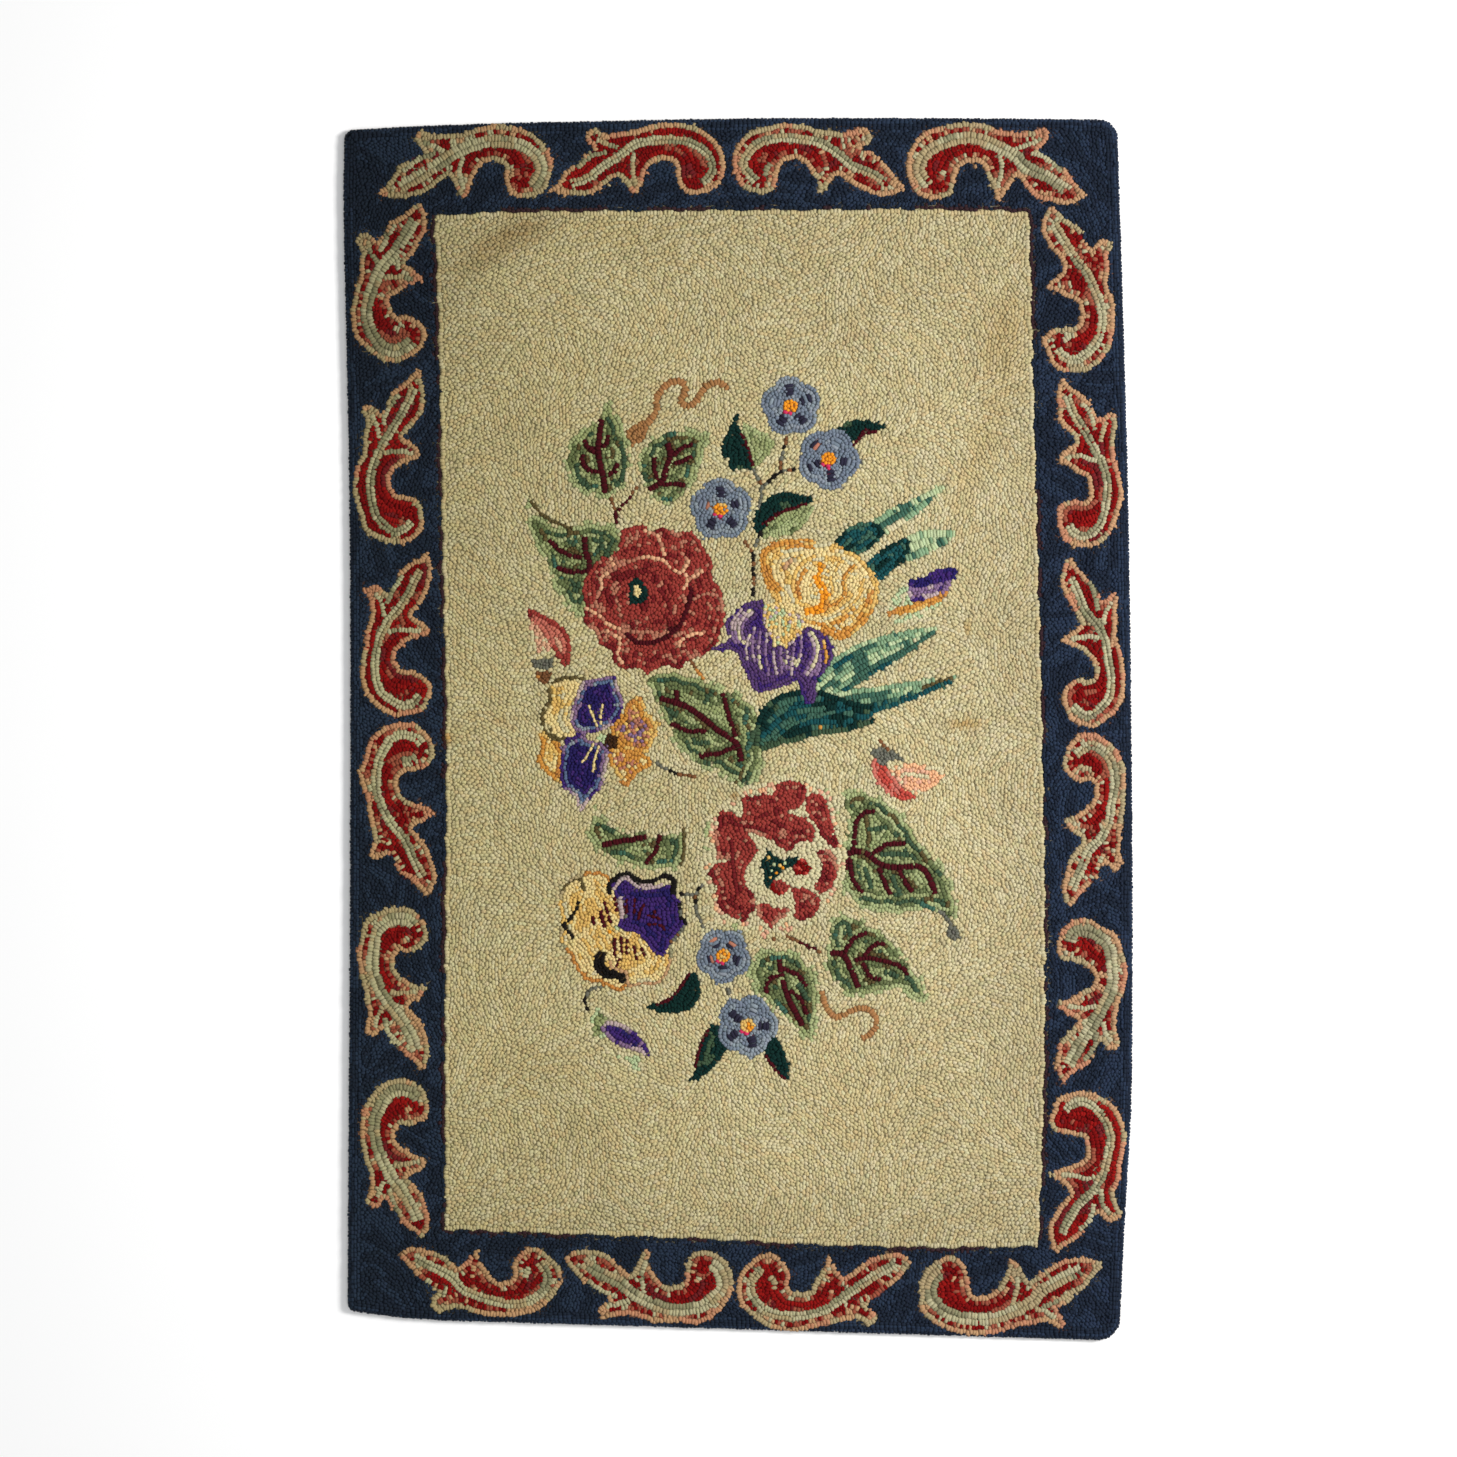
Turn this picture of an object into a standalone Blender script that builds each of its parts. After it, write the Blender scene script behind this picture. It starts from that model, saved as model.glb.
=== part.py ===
"""Hooked rug, lying flat: a burlap foundation with a turned-under hem, and the wool pile hooked through it.

Metres, +Z up. The origin is on the floor, under the middle of the rug. +Y points to the top of the design.
"""

import math

import bmesh
import bpy
import numpy as np
from mathutils import Vector

# Corners of the rug, going round it clockwise as seen from above.
# Columns: x, y, and the radius that the corner is rounded with.
CORNERS = {
    "top_left": (-0.3434, 0.5233, 0.008),
    "top_right": (0.3316, 0.5324, 0.015),
    "bottom_right": (0.3334, -0.5342, 0.018),
    "bottom_left": (-0.3408, -0.5080, 0.006),
}

# How far each side swells out from the straight line between its corners, because the rug was hooked by hand.
# Columns: fraction of the way along the side, and how far out the edge lies there.
SIDE_SWELL = {
    "top": ((0.12, 0.0031), (0.33, 0.0048), (0.54, 0.0055), (0.65, 0.0046), (0.85, 0.0023)),
    "right": ((0.13, 0.0041), (0.31, 0.0091), (0.48, 0.0114), (0.70, 0.0121), (0.81, 0.0108), (0.90, 0.0052)),
    "bottom": ((0.15, 0.0010), (0.41, 0.0025), (0.67, 0.0041), (0.80, 0.0049), (0.93, 0.0046)),
    "left": ((0.08, -0.0006), (0.35, -0.0030), (0.72, -0.0030), (0.88, 0.0002), (0.95, 0.0012)),
}

# Foundation: the burlap with the backs of the stitches in it, and the plain margin turned under it.
CLOTH_THICKNESS = 0.0020
HEM_THICKNESS = 0.0010
HEM_WIDTH = 0.030
HEM_STEP = 0.008
HEM_CORNER_RADIUS = 0.006
FOLD_ROUNDING = 0.0012
EDGE_OVERHANG = 0.0015

# Pile: the height of the hooked loops, and how the outermost row rounds over.
PILE_HEIGHT = 0.0054
RIM_ROUNDING = 0.0055
BORDER_WIDTH = 0.080
FIELD_CORNER_RADIUS = 0.010

# Soft lumps of the pile's face: three crossed waves, each with its length, turned from the one before it.
LUMP_HEIGHT = 0.00035
LUMP_LENGTHS = (0.131, 0.083, 0.058)
LUMP_FIRST_TURN = 0.7
LUMP_NEXT_TURN = 1.9
LUMP_STRETCH = 1.3

# Space kept between the two pieces.
CLEARANCE = 0.0003

# Steps of the mesh: along half a corner's arc, and along the rest of a short and a long side.
ARC_STEPS = 2
SHORT_SIDE_STEPS = 15
LONG_SIDE_STEPS = 24
CIRCLE_WEIGHT = math.cos(math.pi / 4)

# Steepest turn between two faces that is still shaded smooth.
SMOOTH_ANGLE = math.radians(50)

NAVY_WOOL = (0.012, 0.022, 0.045)
CREAM_WOOL = (0.52, 0.44, 0.24)
WOOL_ROUGHNESS = 0.9
BURLAP = (0.36, 0.25, 0.13)
BURLAP_ROUGHNESS = 0.95


def clear_scene():
    for obj in list(bpy.data.objects):
        bpy.data.objects.remove(obj, do_unlink=True)


def cloth_material(name, colour, roughness):
    material = bpy.data.materials.new(name)
    material.use_nodes = True
    shader = material.node_tree.nodes["Principled BSDF"]
    shader.inputs["Base Color"].default_value = (*colour, 1.0)
    shader.inputs["Roughness"].default_value = roughness
    shader.inputs["Metallic"].default_value = 0.0
    return material


def swell_at(rows, fraction):
    """Smooth curve through the rows of one side, zero at both corners."""
    places = np.array([0.0, *(row[0] for row in rows), 1.0])
    swells = np.array([0.0, *(row[1] for row in rows), 0.0])
    slopes = np.gradient(swells, places)
    i = int(np.clip(np.searchsorted(places, fraction) - 1, 0, len(places) - 2))
    span = places[i + 1] - places[i]
    s = (fraction - places[i]) / span
    start = (1 + 2 * s) * (1 - s) ** 2 * swells[i] + s * (1 - s) ** 2 * span * slopes[i]
    end = s * s * (3 - 2 * s) * swells[i + 1] + s * s * (s - 1) * span * slopes[i + 1]
    return start + end


def side_frames(inset):
    """For each side: its two corners moved in by the inset, the outward normal and the swell's rows."""
    corners = [Vector(row[:2]) for row in CORNERS.values()]
    normals = []
    for i, corner in enumerate(corners):
        along = (corners[(i + 1) % 4] - corner).normalized()
        normals.append(Vector((-along.y, along.x)))
    moved = [corner - inset * (normals[i] + normals[i - 1]) for i, corner in enumerate(corners)]
    return [(moved[i], moved[(i + 1) % 4], normals[i], rows) for i, rows in enumerate(SIDE_SWELL.values())]


def side_point(side, fraction):
    start, end, normal, rows = side
    return start.lerp(end, fraction) + normal * swell_at(rows, fraction)


def corner_point(before, corner, after, s):
    """Point on a corner's arc from the side before it, at s = 0, to the side after it, at s = 1."""
    weights = ((1 - s) ** 2, 2 * s * (1 - s) * CIRCLE_WEIGHT, s * s)
    total = before * weights[0] + corner * weights[1] + after * weights[2]
    return total / sum(weights)


def ring(inset, radius_change=0.0):
    """The rug's outline moved in by the inset, as points clockwise from the middle of the top left corner.

    The corners' radii grow by radius_change. Every ring has the same number of points.
    """
    sides = side_frames(inset)
    radii = [row[2] + radius_change for row in CORNERS.values()]
    points = []
    for i, side in enumerate(sides):
        length = (side[1] - side[0]).length
        first = radii[i] / length
        last = 1 - radii[(i + 1) % 4] / length
        side_before = sides[i - 1]
        before_end = 1 - radii[i] / (side_before[1] - side_before[0]).length
        side_after = sides[(i + 1) % 4]
        after_start = radii[(i + 1) % 4] / (side_after[1] - side_after[0]).length
        for step in range(ARC_STEPS):
            s = 0.5 + 0.5 * step / ARC_STEPS
            points.append(corner_point(side_point(side_before, before_end), side[0], side_point(side, first), s))
        steps = SHORT_SIDE_STEPS if i % 2 == 0 else LONG_SIDE_STEPS
        for step in range(steps + 1):
            points.append(side_point(side, first + (last - first) * step / steps))
        for step in range(1, ARC_STEPS):
            s = 0.5 * step / ARC_STEPS
            points.append(corner_point(side_point(side, last), side[1], side_point(side_after, after_start), s))
    return points


def outline_middle():
    """Middle of the box round the outline, so that the rug can be centred on the origin."""
    outer = np.array([point[:] for point in ring(0.0)])
    return Vector((outer.min(axis=0) + outer.max(axis=0)) / 2)


def lump(x, y):
    """Softly uneven height of the hooked face."""
    total = 0.0
    for turn, length in enumerate(LUMP_LENGTHS):
        angle = LUMP_FIRST_TURN + LUMP_NEXT_TURN * turn
        across = x * math.cos(angle) + y * math.sin(angle)
        along = y * math.cos(angle) - x * math.sin(angle)
        wave = math.sin(2 * math.pi * across / length + turn)
        total += wave * math.cos(2 * math.pi * along / (LUMP_STRETCH * length))
    return LUMP_HEIGHT * total / len(LUMP_LENGTHS)


def add_ring(mesh, inset, height, middle, radius_change=0.0, lumpy=0.0):
    verts = []
    for point in ring(inset, radius_change):
        x, y = point - middle
        verts.append(mesh.verts.new((x, y, height + lumpy * lump(x, y))))
    return verts


def join_rings(mesh, rings, material_of_band=None):
    """Quads between each ring and the next."""
    for band, (ring_a, ring_b) in enumerate(zip(rings, rings[1:])):
        count = len(ring_a)
        for i in range(count):
            j = (i + 1) % count
            face = mesh.faces.new((ring_a[i], ring_a[j], ring_b[j], ring_b[i]))
            face.material_index = material_of_band[band] if material_of_band else 0


def fill_with_grid(mesh, edge, height, material_index):
    """Grid of quads inside a ring, each point placed between the ring's four sides."""
    columns = SHORT_SIDE_STEPS + 2 * ARC_STEPS
    rows = LONG_SIDE_STEPS + 2 * ARC_STEPS
    top = [edge[i] for i in range(columns + 1)]
    right = [edge[columns + i] for i in range(rows + 1)]
    bottom = [edge[2 * columns + rows - i] for i in range(columns + 1)]
    left = [edge[(2 * (columns + rows) - i) % len(edge)] for i in range(rows + 1)]
    grid = [top]
    for r in range(1, rows):
        down = r / rows
        line = [left[r]]
        for c in range(1, columns):
            across = c / columns
            between_sides = left[r].co.lerp(right[r].co, across)
            between_ends = top[c].co.lerp(bottom[c].co, down)
            upper = top[0].co.lerp(top[-1].co, across)
            lower = bottom[0].co.lerp(bottom[-1].co, across)
            place = between_sides + between_ends - upper.lerp(lower, down)
            place.z = height + lump(place.x, place.y)
            line.append(mesh.verts.new(place))
        line.append(right[r])
        grid.append(line)
    grid.append(bottom)
    for r in range(rows):
        for c in range(columns):
            corners = (grid[r][c], grid[r][c + 1], grid[r + 1][c + 1], grid[r + 1][c])
            face = mesh.faces.new(corners)
            face.material_index = material_index


def finish_object(mesh, name, materials):
    bmesh.ops.recalc_face_normals(mesh, faces=mesh.faces)
    data = bpy.data.meshes.new(name)
    mesh.to_mesh(data)
    mesh.free()
    for material in materials:
        data.materials.append(material)
    data.shade_smooth()
    data.set_sharp_from_angle(angle=SMOOTH_ANGLE)
    obj = bpy.data.objects.new(name, data)
    bpy.context.collection.objects.link(obj)
    return obj


def make_foundation(middle):
    """Burlap sheet. Its margin is folded under and lies flat on the floor, and so does the cloth inside it."""
    mesh = bmesh.new()
    hem_top = CLOTH_THICKNESS + HEM_THICKNESS
    hem_inside = EDGE_OVERHANG + HEM_WIDTH
    flat_inside = hem_inside + HEM_STEP
    square = HEM_CORNER_RADIUS
    # Columns: inset from the pile's edge, height, and how much larger than the outline's the corner radius is.
    section = (
        (flat_inside, 0.0, square),
        (hem_inside + 0.1 * HEM_STEP, 0.9 * HEM_THICKNESS, square),
        (hem_inside, 0.0, square),
        (EDGE_OVERHANG + FOLD_ROUNDING, 0.0, 0.0),
        (EDGE_OVERHANG + 0.25 * FOLD_ROUNDING, 0.25 * hem_top, 0.0),
        (EDGE_OVERHANG, 0.5 * hem_top, 0.0),
        (EDGE_OVERHANG + 0.25 * FOLD_ROUNDING, 0.75 * hem_top, 0.0),
        (EDGE_OVERHANG + FOLD_ROUNDING, hem_top, 0.0),
        (hem_inside, hem_top, square),
        (flat_inside, CLOTH_THICKNESS, square),
    )
    rings = [add_ring(mesh, inset, height, middle, radius) for inset, height, radius in section]
    join_rings(mesh, rings)
    mesh.faces.new(rings[0])
    mesh.faces.new(rings[-1])
    return finish_object(mesh, "foundation", [cloth_material("burlap", BURLAP, BURLAP_ROUGHNESS)])


def make_pile(middle):
    """Slab of hooked loops on the foundation, with a rounded rim and a softly uneven face."""
    mesh = bmesh.new()
    low = CLOTH_THICKNESS + CLEARANCE
    high = low + HEM_THICKNESS
    top = high + PILE_HEIGHT
    hem_inside = EDGE_OVERHANG + HEM_WIDTH
    flat_inside = hem_inside + HEM_STEP
    square = HEM_CORNER_RADIUS
    # Columns: inset from the pile's edge, height, growth of the corner radius, and share of the face's lumps.
    section = (
        (flat_inside, low, square, 0.0),
        (hem_inside, high, square, 0.0),
        (2 * EDGE_OVERHANG, high, 0.0, 0.0),
        (0.2 * EDGE_OVERHANG, high + 0.08 * PILE_HEIGHT, 0.0, 0.0),
        (0.0, high + 0.30 * PILE_HEIGHT, 0.0, 0.0),
        (0.12 * RIM_ROUNDING, high + 0.65 * PILE_HEIGHT, 0.0, 0.0),
        (0.45 * RIM_ROUNDING, high + 0.90 * PILE_HEIGHT, 0.0, 0.0),
        (RIM_ROUNDING, top, 0.0, 0.5),
        (hem_inside, top, square, 1.0),
        (flat_inside, top - HEM_THICKNESS, square, 1.0),
        (BORDER_WIDTH, top - HEM_THICKNESS, FIELD_CORNER_RADIUS, 1.0),
    )
    rings = [add_ring(mesh, inset, height, middle, radius, lumps) for inset, height, radius, lumps in section]
    join_rings(mesh, rings)
    mesh.faces.new(rings[0])
    fill_with_grid(mesh, rings[-1], top - HEM_THICKNESS, 1)
    navy = cloth_material("navy_wool", NAVY_WOOL, WOOL_ROUGHNESS)
    cream = cloth_material("cream_wool", CREAM_WOOL, WOOL_ROUGHNESS)
    return finish_object(mesh, "pile", [navy, cream])


def main():
    clear_scene()
    middle = outline_middle()
    make_foundation(middle)
    make_pile(middle)


main()
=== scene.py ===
"""Hooked wool rug on burlap: flowers on a cream field, inside a dark border of scrolls."""

import math

import bmesh
import bpy
import numpy as np
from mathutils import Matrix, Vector
from mathutils.bvhtree import BVHTree


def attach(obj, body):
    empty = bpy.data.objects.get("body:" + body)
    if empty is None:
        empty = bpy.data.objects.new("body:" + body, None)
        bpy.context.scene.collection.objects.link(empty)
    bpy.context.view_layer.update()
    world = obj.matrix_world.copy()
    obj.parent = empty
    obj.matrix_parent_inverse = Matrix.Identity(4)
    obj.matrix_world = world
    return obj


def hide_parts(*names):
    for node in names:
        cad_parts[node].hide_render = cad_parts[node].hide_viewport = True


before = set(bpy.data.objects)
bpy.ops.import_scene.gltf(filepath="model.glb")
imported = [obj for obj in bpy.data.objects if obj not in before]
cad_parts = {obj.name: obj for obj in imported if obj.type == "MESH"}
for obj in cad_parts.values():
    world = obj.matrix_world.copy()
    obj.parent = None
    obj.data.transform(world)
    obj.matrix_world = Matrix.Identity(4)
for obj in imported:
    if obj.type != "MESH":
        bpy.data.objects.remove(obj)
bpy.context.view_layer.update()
rng = np.random.default_rng(1898)

# Loops, in millimetres. The pattern's own lengths are in millimetres from the rug's middle.
MM = 0.001
LOOP_LENGTH = 4.3
LOOP_WIDTH = 2.8
BAR_LENGTH = 4.4
BAR_PITCH = 2.95
EDGE_BAR = 5.0
GROUND_PITCH = 2.7
GROUND_LENGTH = 3.9
BAND_ROW = 2.8
SHIFT = 0.22
CELL = 0.6
OVERLAP = 0.30
FILLER_LIMIT = 15000
X, Y, TURN, LENGTH, WIDTH, YARN, LEVEL, RANK = range(8)

# Colours of the yarns, as red, green and blue from 0 to 255
YARNS = {
    "cream": (189, 177, 133),
    "light cream": (194, 184, 145),
    "grey cream": (183, 172, 130),
    "warm cream": (189, 173, 128),
    "navy": (28, 37, 51),
    "blue navy": (37, 49, 67),
    "dusk": (52, 34, 38),
    "tan": (178, 140, 102),
    "pink tan": (180, 128, 96),
    "beige": (164, 148, 110),
    "red": (116, 9, 9),
    "bright red": (136, 17, 14),
    "mottle": (146, 78, 58),
    "sage": (172, 166, 130),
    "grey sage": (136, 132, 100),
    "rose": (142, 54, 47),
    "deep rose": (106, 28, 30),
    "fleck": (168, 110, 88),
    "pink": (184, 104, 88),
    "pale pink": (204, 156, 126),
    "petal line": (208, 158, 122),
    "coral": (178, 70, 58),
    "peach": (216, 164, 122),
    "maroon": (66, 12, 20),
    "pale sage": (154, 162, 114),
    "light leaf": (138, 146, 98),
    "leaf": (94, 104, 66),
    "deep leaf": (58, 78, 56),
    "teal leaf": (58, 92, 76),
    "olive": (86, 74, 44),
    "dark green": (10, 40, 36),
    "teal": (22, 70, 72),
    "seafoam": (122, 150, 114),
    "mint": (170, 184, 140),
    "grey": (98, 98, 86),
    "blue": (108, 118, 130),
    "light blue": (128, 137, 144),
    "spot": (40, 38, 54),
    "violet": (58, 36, 98),
    "soft violet": (78, 54, 98),
    "deep violet": (36, 28, 84),
    "lilac": (124, 98, 128),
    "blue lilac": (84, 100, 130),
    "pale lilac": (172, 152, 150),
    "yellow": (208, 170, 96),
    "pale yellow": (214, 192, 134),
    "gold": (192, 134, 60),
    "orange": (222, 142, 36),
    "magenta": (196, 48, 88),
    "black": (24, 20, 18),
    "brown": (112, 74, 46),
    "dark brown": (58, 36, 20),
    "orange brown": (180, 122, 60),
    "tendril": (154, 110, 68),
}
YARN_NAMES = list(YARNS)

# Mixed yarns: about how many loops in a row share one colour, then the colours and their shares
MIXES = {
    "field": (2, (("cream", 7), ("light cream", 7), ("grey cream", 6), ("warm cream", 6))),
    "ground": (7, (("navy", 5), ("blue navy", 4))),
    "edge line": (4, (("navy", 3), ("dusk", 3))),
    "outline": (4, (("tan", 6), ("pink tan", 2), ("beige", 3))),
    "reds": (4, (("red", 6), ("bright red", 3), ("deep rose", 1), ("mottle", 1))),
    "mottled": (1, (("mottle", 4), ("red", 5), ("sage", 2), ("tan", 2))),
    "sages": (5, (("sage", 5), ("grey sage", 3), ("beige", 2))),
    "roses": (3, (("rose", 7), ("deep rose", 2), ("fleck", 1))),
    "speckled rose": (1, (("rose", 6), ("fleck", 3), ("deep rose", 2))),
    "red rose": (2, (("rose", 3), ("red", 2), ("coral", 2))),
    "petal lines": (3, (("petal line", 7), ("fleck", 2))),
    "deep leaves": (3, (("deep leaf", 5), ("teal leaf", 2), ("leaf", 2))),
    "leaf rows": (4, (("light leaf", 4), ("pale sage", 3), ("leaf", 1))),
    "deep rows": (6, (("deep leaf", 4), ("leaf", 3), ("teal leaf", 1), ("olive", 2))),
    "flank": (2, (("olive", 1), ("leaf", 3), ("light leaf", 2))),
    "halo": (3, (("pale sage", 4), ("light leaf", 5), ("leaf", 1))),
    "mist": (2, (("pale sage", 4), ("cream", 3), ("light cream", 2))),
    "blush": (1, (("light cream", 5), ("pale pink", 2), ("peach", 1))),
    "mist blush": (2, (("cream", 3), ("light cream", 3), ("pale pink", 1), ("pale sage", 1))),
    "dark greens": (5, (("dark green", 5), ("deep leaf", 1))),
    "blues": (4, (("blue", 5), ("light blue", 2))),
    "light blues": (3, (("blue", 3), ("light blue", 4))),
    "speckled blue": (1, (("blue", 3), ("spot", 3), ("fleck", 1), ("light blue", 2))),
    "teals": (3, (("teal", 5), ("dark green", 1), ("teal leaf", 5))),
    "dark teals": (3, (("teal", 4), ("dark green", 4), ("teal leaf", 1))),
    "seafoams": (4, (("seafoam", 4), ("mint", 3), ("teal leaf", 1))),
    "golds": (3, (("gold", 4), ("yellow", 2), ("orange brown", 1))),
    "golden edge": (3, (("yellow", 3), ("gold", 2), ("pale yellow", 1))),
    "golden specks": (1, (("gold", 4), ("yellow", 2), ("fleck", 2), ("orange brown", 2))),
    "plum specks": (1, (("fleck", 3), ("lilac", 2), ("yellow", 3), ("brown", 1))),
    "yellow edge": (4, (("beige", 3), ("grey sage", 1), ("yellow", 2), ("orange brown", 1))),
    "oranges": (3, (("orange", 4), ("gold", 2))),
    "eye": (2, (("orange", 5), ("yellow", 2))),
    "pale throat": (1, (("mint", 3), ("pale yellow", 5), ("yellow", 3), ("pale lilac", 2))),
    "beiges": (2, (("beige", 3), ("grey sage", 2), ("tan", 2))),
    "yellows": (4, (("yellow", 4), ("pale yellow", 3))),
    "pale yellows": (4, (("pale yellow", 5), ("light cream", 2), ("yellow", 2))),
    "speckled gold": (1, (("gold", 4), ("pale yellow", 3), ("fleck", 2))),
    "lilacs": (3, (("lilac", 5), ("pale lilac", 2), ("violet", 1))),
    "pale lilacs": (3, (("pale lilac", 5), ("light cream", 2), ("lilac", 2))),
    "violets": (4, (("violet", 5), ("deep violet", 2))),
    "soft violets": (3, (("soft violet", 5), ("violet", 3))),
    "sea teals": (3, (("teal leaf", 4), ("seafoam", 2), ("teal", 1))),
    "deep violets": (4, (("deep violet", 5), ("violet", 2))),
    "blue lilacs": (2, (("blue lilac", 5), ("lilac", 1), ("light blue", 2))),
    "plums": (2, (("maroon", 5), ("grey", 1))),
    "pinks": (3, (("pink", 5), ("pale pink", 1))),
    "pale pinks": (3, (("pale pink", 3), ("light cream", 3))),
    "corals": (3, (("coral", 6), ("pink", 2))),
    "peaches": (3, (("peach", 5), ("pale pink", 2), ("light cream", 1))),
    "pale peaches": (3, (("peach", 3), ("light cream", 3))),
    "pale mints": (3, (("mint", 4), ("light cream", 3))),
    "stem": (2, (("black", 3), ("grey", 3), ("brown", 1))),
    "brown stem": (2, (("brown", 6), ("orange brown", 1), ("maroon", 2))),
}


# Curves and shapes
def smooth_curve(points, closed=False):
    """Curve through the points, as a polyline with about one point each millimetre."""
    p = np.asarray(points, float)
    if closed:
        p = np.vstack([p[-1], p, p[0], p[1]])
    else:
        p = np.vstack([2 * p[0] - p[1], p, 2 * p[-1] - p[-2]])
    out = []
    for a, b, c, d in zip(p, p[1:], p[2:], p[3:]):
        count = max(int(np.hypot(*(c - b))), 2)
        t = (np.arange(count) / count)[:, None]
        bend = (2 * a - 5 * b + 4 * c - d) * t**2 + (3 * b - 3 * c + d - a) * t**3
        out.append(0.5 * (2 * b + (c - a) * t + bend))
    if not closed:
        out.append(p[-2][None])
    return np.vstack(out)


def run_along(points):
    """Length of the polyline up to each of its points."""
    return np.concatenate([[0.0], np.cumsum(np.hypot(*np.diff(points, axis=0).T))])


def spread(points, pitch):
    """Places along a polyline at an even pitch, and the direction of the line there."""
    run = run_along(points)
    count = max(int(round(run[-1] / pitch)), 1)
    places = (np.arange(count) + 0.5) * run[-1] / count
    step = 0.4 * pitch
    x = np.interp(places, run, points[:, 0])
    y = np.interp(places, run, points[:, 1])
    dx = np.interp(places + step, run, points[:, 0]) - np.interp(places - step, run, points[:, 0])
    dy = np.interp(places + step, run, points[:, 1]) - np.interp(places - step, run, points[:, 1])
    return x, y, np.arctan2(dy, dx)


def closed_line(outline):
    return np.vstack([outline, outline[:1]])


def outward(outline, reach=1):
    """Unit vectors that point out of a closed outline, each measured over some points to either side."""
    along = np.roll(outline, -reach, axis=0) - np.roll(outline, reach, axis=0)
    along /= np.maximum(np.hypot(*along.T), 1e-9)[:, None]
    after = np.roll(outline, -1, axis=0)
    area = np.sum(outline[:, 0] * after[:, 1] - after[:, 0] * outline[:, 1])
    return np.stack([along[:, 1], -along[:, 0]], axis=1) * np.sign(area)


class Shape:
    """Closed outline with about one point each millimetre. Its rings keep their distance from all of it."""

    def __init__(self, outline):
        self.outline = outline

    def moved_in(self, depth):
        """The outline moved in, and which of its points keep that distance from the whole outline."""
        reach = min(1 + int(0.5 * depth), len(self.outline) // 6)
        points = self.outline - outward(self.outline, reach) * depth
        x = points[:, :1]
        y = points[:, 1:]
        ax, ay = self.outline.T
        fits = np.min((x - ax) ** 2 + (y - ay) ** 2, axis=1) > max(0.9 * depth - 0.4, 0.0) ** 2
        bx, by = np.roll(self.outline, -1, axis=0).T
        crossed = (ay > y) != (by > y)
        slope = (bx - ax) / np.where(by == ay, 1.0, by - ay)
        return points, fits & (np.sum(crossed & (x < ax + slope * (y - ay)), axis=1) % 2 == 1)

    def ring(self, depth):
        """Runs of the outline moved in by the depth, without the places that are too narrow for it."""
        points, fits = self.moved_in(depth)
        if fits.all():
            return [closed_line(points)]
        if not fits.any():
            return []
        start = int(np.argmin(fits))
        points = np.roll(points, -start, axis=0)
        fits = np.roll(fits, -start)
        edges = np.flatnonzero(np.diff(np.concatenate([[False], fits, [False]]).astype(int)))
        return [points[a:b] for a, b in zip(edges[::2], edges[1::2]) if b - a > 2]

    def depth(self):
        """How far its middle is from its outline."""
        deepest = 0.0
        step = 0.25 * float(min(np.ptp(self.outline, axis=0)))
        while step > 0.6:
            if self.moved_in(deepest + step)[1].any():
                deepest += step
            else:
                step *= 0.5
        return deepest + 0.3


def area(points):
    """Shape with a smooth outline through the given points."""
    return Shape(smooth_curve(points, closed=True))


def beside(points, distance):
    """Smooth line at a distance to the left of another, or to its right where the distance is below 0."""
    line = smooth_curve(points)
    along = np.gradient(line, axis=0)
    along /= np.maximum(np.hypot(*along.T), 1e-6)[:, None]
    return line + np.stack([-along[:, 1], along[:, 0]], axis=1) * distance


def eased_widths(widths, share):
    """Half widths between the given ones, eased so that the sides stay curved."""
    steps = np.linspace(0, 1, len(widths))
    i = np.clip(np.searchsorted(steps, share) - 1, 0, len(widths) - 2)
    w = np.asarray(widths, float)
    slope = np.gradient(w, steps)
    span = steps[1]
    s = (share - steps[i]) / span
    value = (1 + 2 * s) * (1 - s) ** 2 * w[i] + s * (1 - s) ** 2 * span * slope[i]
    value += s * s * (3 - 2 * s) * w[i + 1] + s * s * (s - 1) * span * slope[i + 1]
    return np.maximum(value, 0.0)


def ribbon(spine_points, left, right=None):
    """Shape along a smooth spine. left and right are the half widths at even steps along it."""
    spine = smooth_curve(spine_points)
    run = run_along(spine)
    share = run / run[-1]
    right = left if right is None else right
    along = np.gradient(spine, axis=0)
    along /= np.maximum(np.hypot(*along.T), 1e-6)[:, None]
    across = np.stack([-along[:, 1], along[:, 0]], axis=1)
    left_side = spine + across * eased_widths(left, share)[:, None]
    right_side = spine - across * eased_widths(right, share)[:, None]
    return Shape(np.vstack([left_side, right_side[::-1]]))


def blob(centre, across, along, turn=0.0, lobes=0, depth=0.0, phase=0.0):
    """Round shape of the given half sizes, turned by degrees, with lobes round its edge."""
    angle = np.linspace(0, 2 * math.pi, 72, endpoint=False)
    size = 1 + depth * np.cos(lobes * angle + phase)
    x = across * size * np.cos(angle)
    y = along * size * np.sin(angle)
    c = math.cos(math.radians(turn))
    s = math.sin(math.radians(turn))
    cx, cy = centre
    return Shape(np.stack([cx + c * x - s * y, cy + s * x + c * y], axis=1))


def inside(outline, x, y):
    """Which of the points lie inside a closed outline."""
    found = np.zeros(len(x), bool)
    low = outline.min(axis=0)
    high = outline.max(axis=0)
    near = (x > low[0]) & (x < high[0]) & (y > low[1]) & (y < high[1])
    px = x[near]
    py = y[near]
    hit = np.zeros(len(px), bool)
    for (ax, ay), (bx, by) in zip(outline, np.roll(outline, -1, axis=0)):
        if ay != by:
            crosses = (ay > py) != (by > py)
            hit ^= crosses & (px < (bx - ax) * (py - ay) / (by - ay) + ax)
    found[near] = hit
    return found


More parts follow.
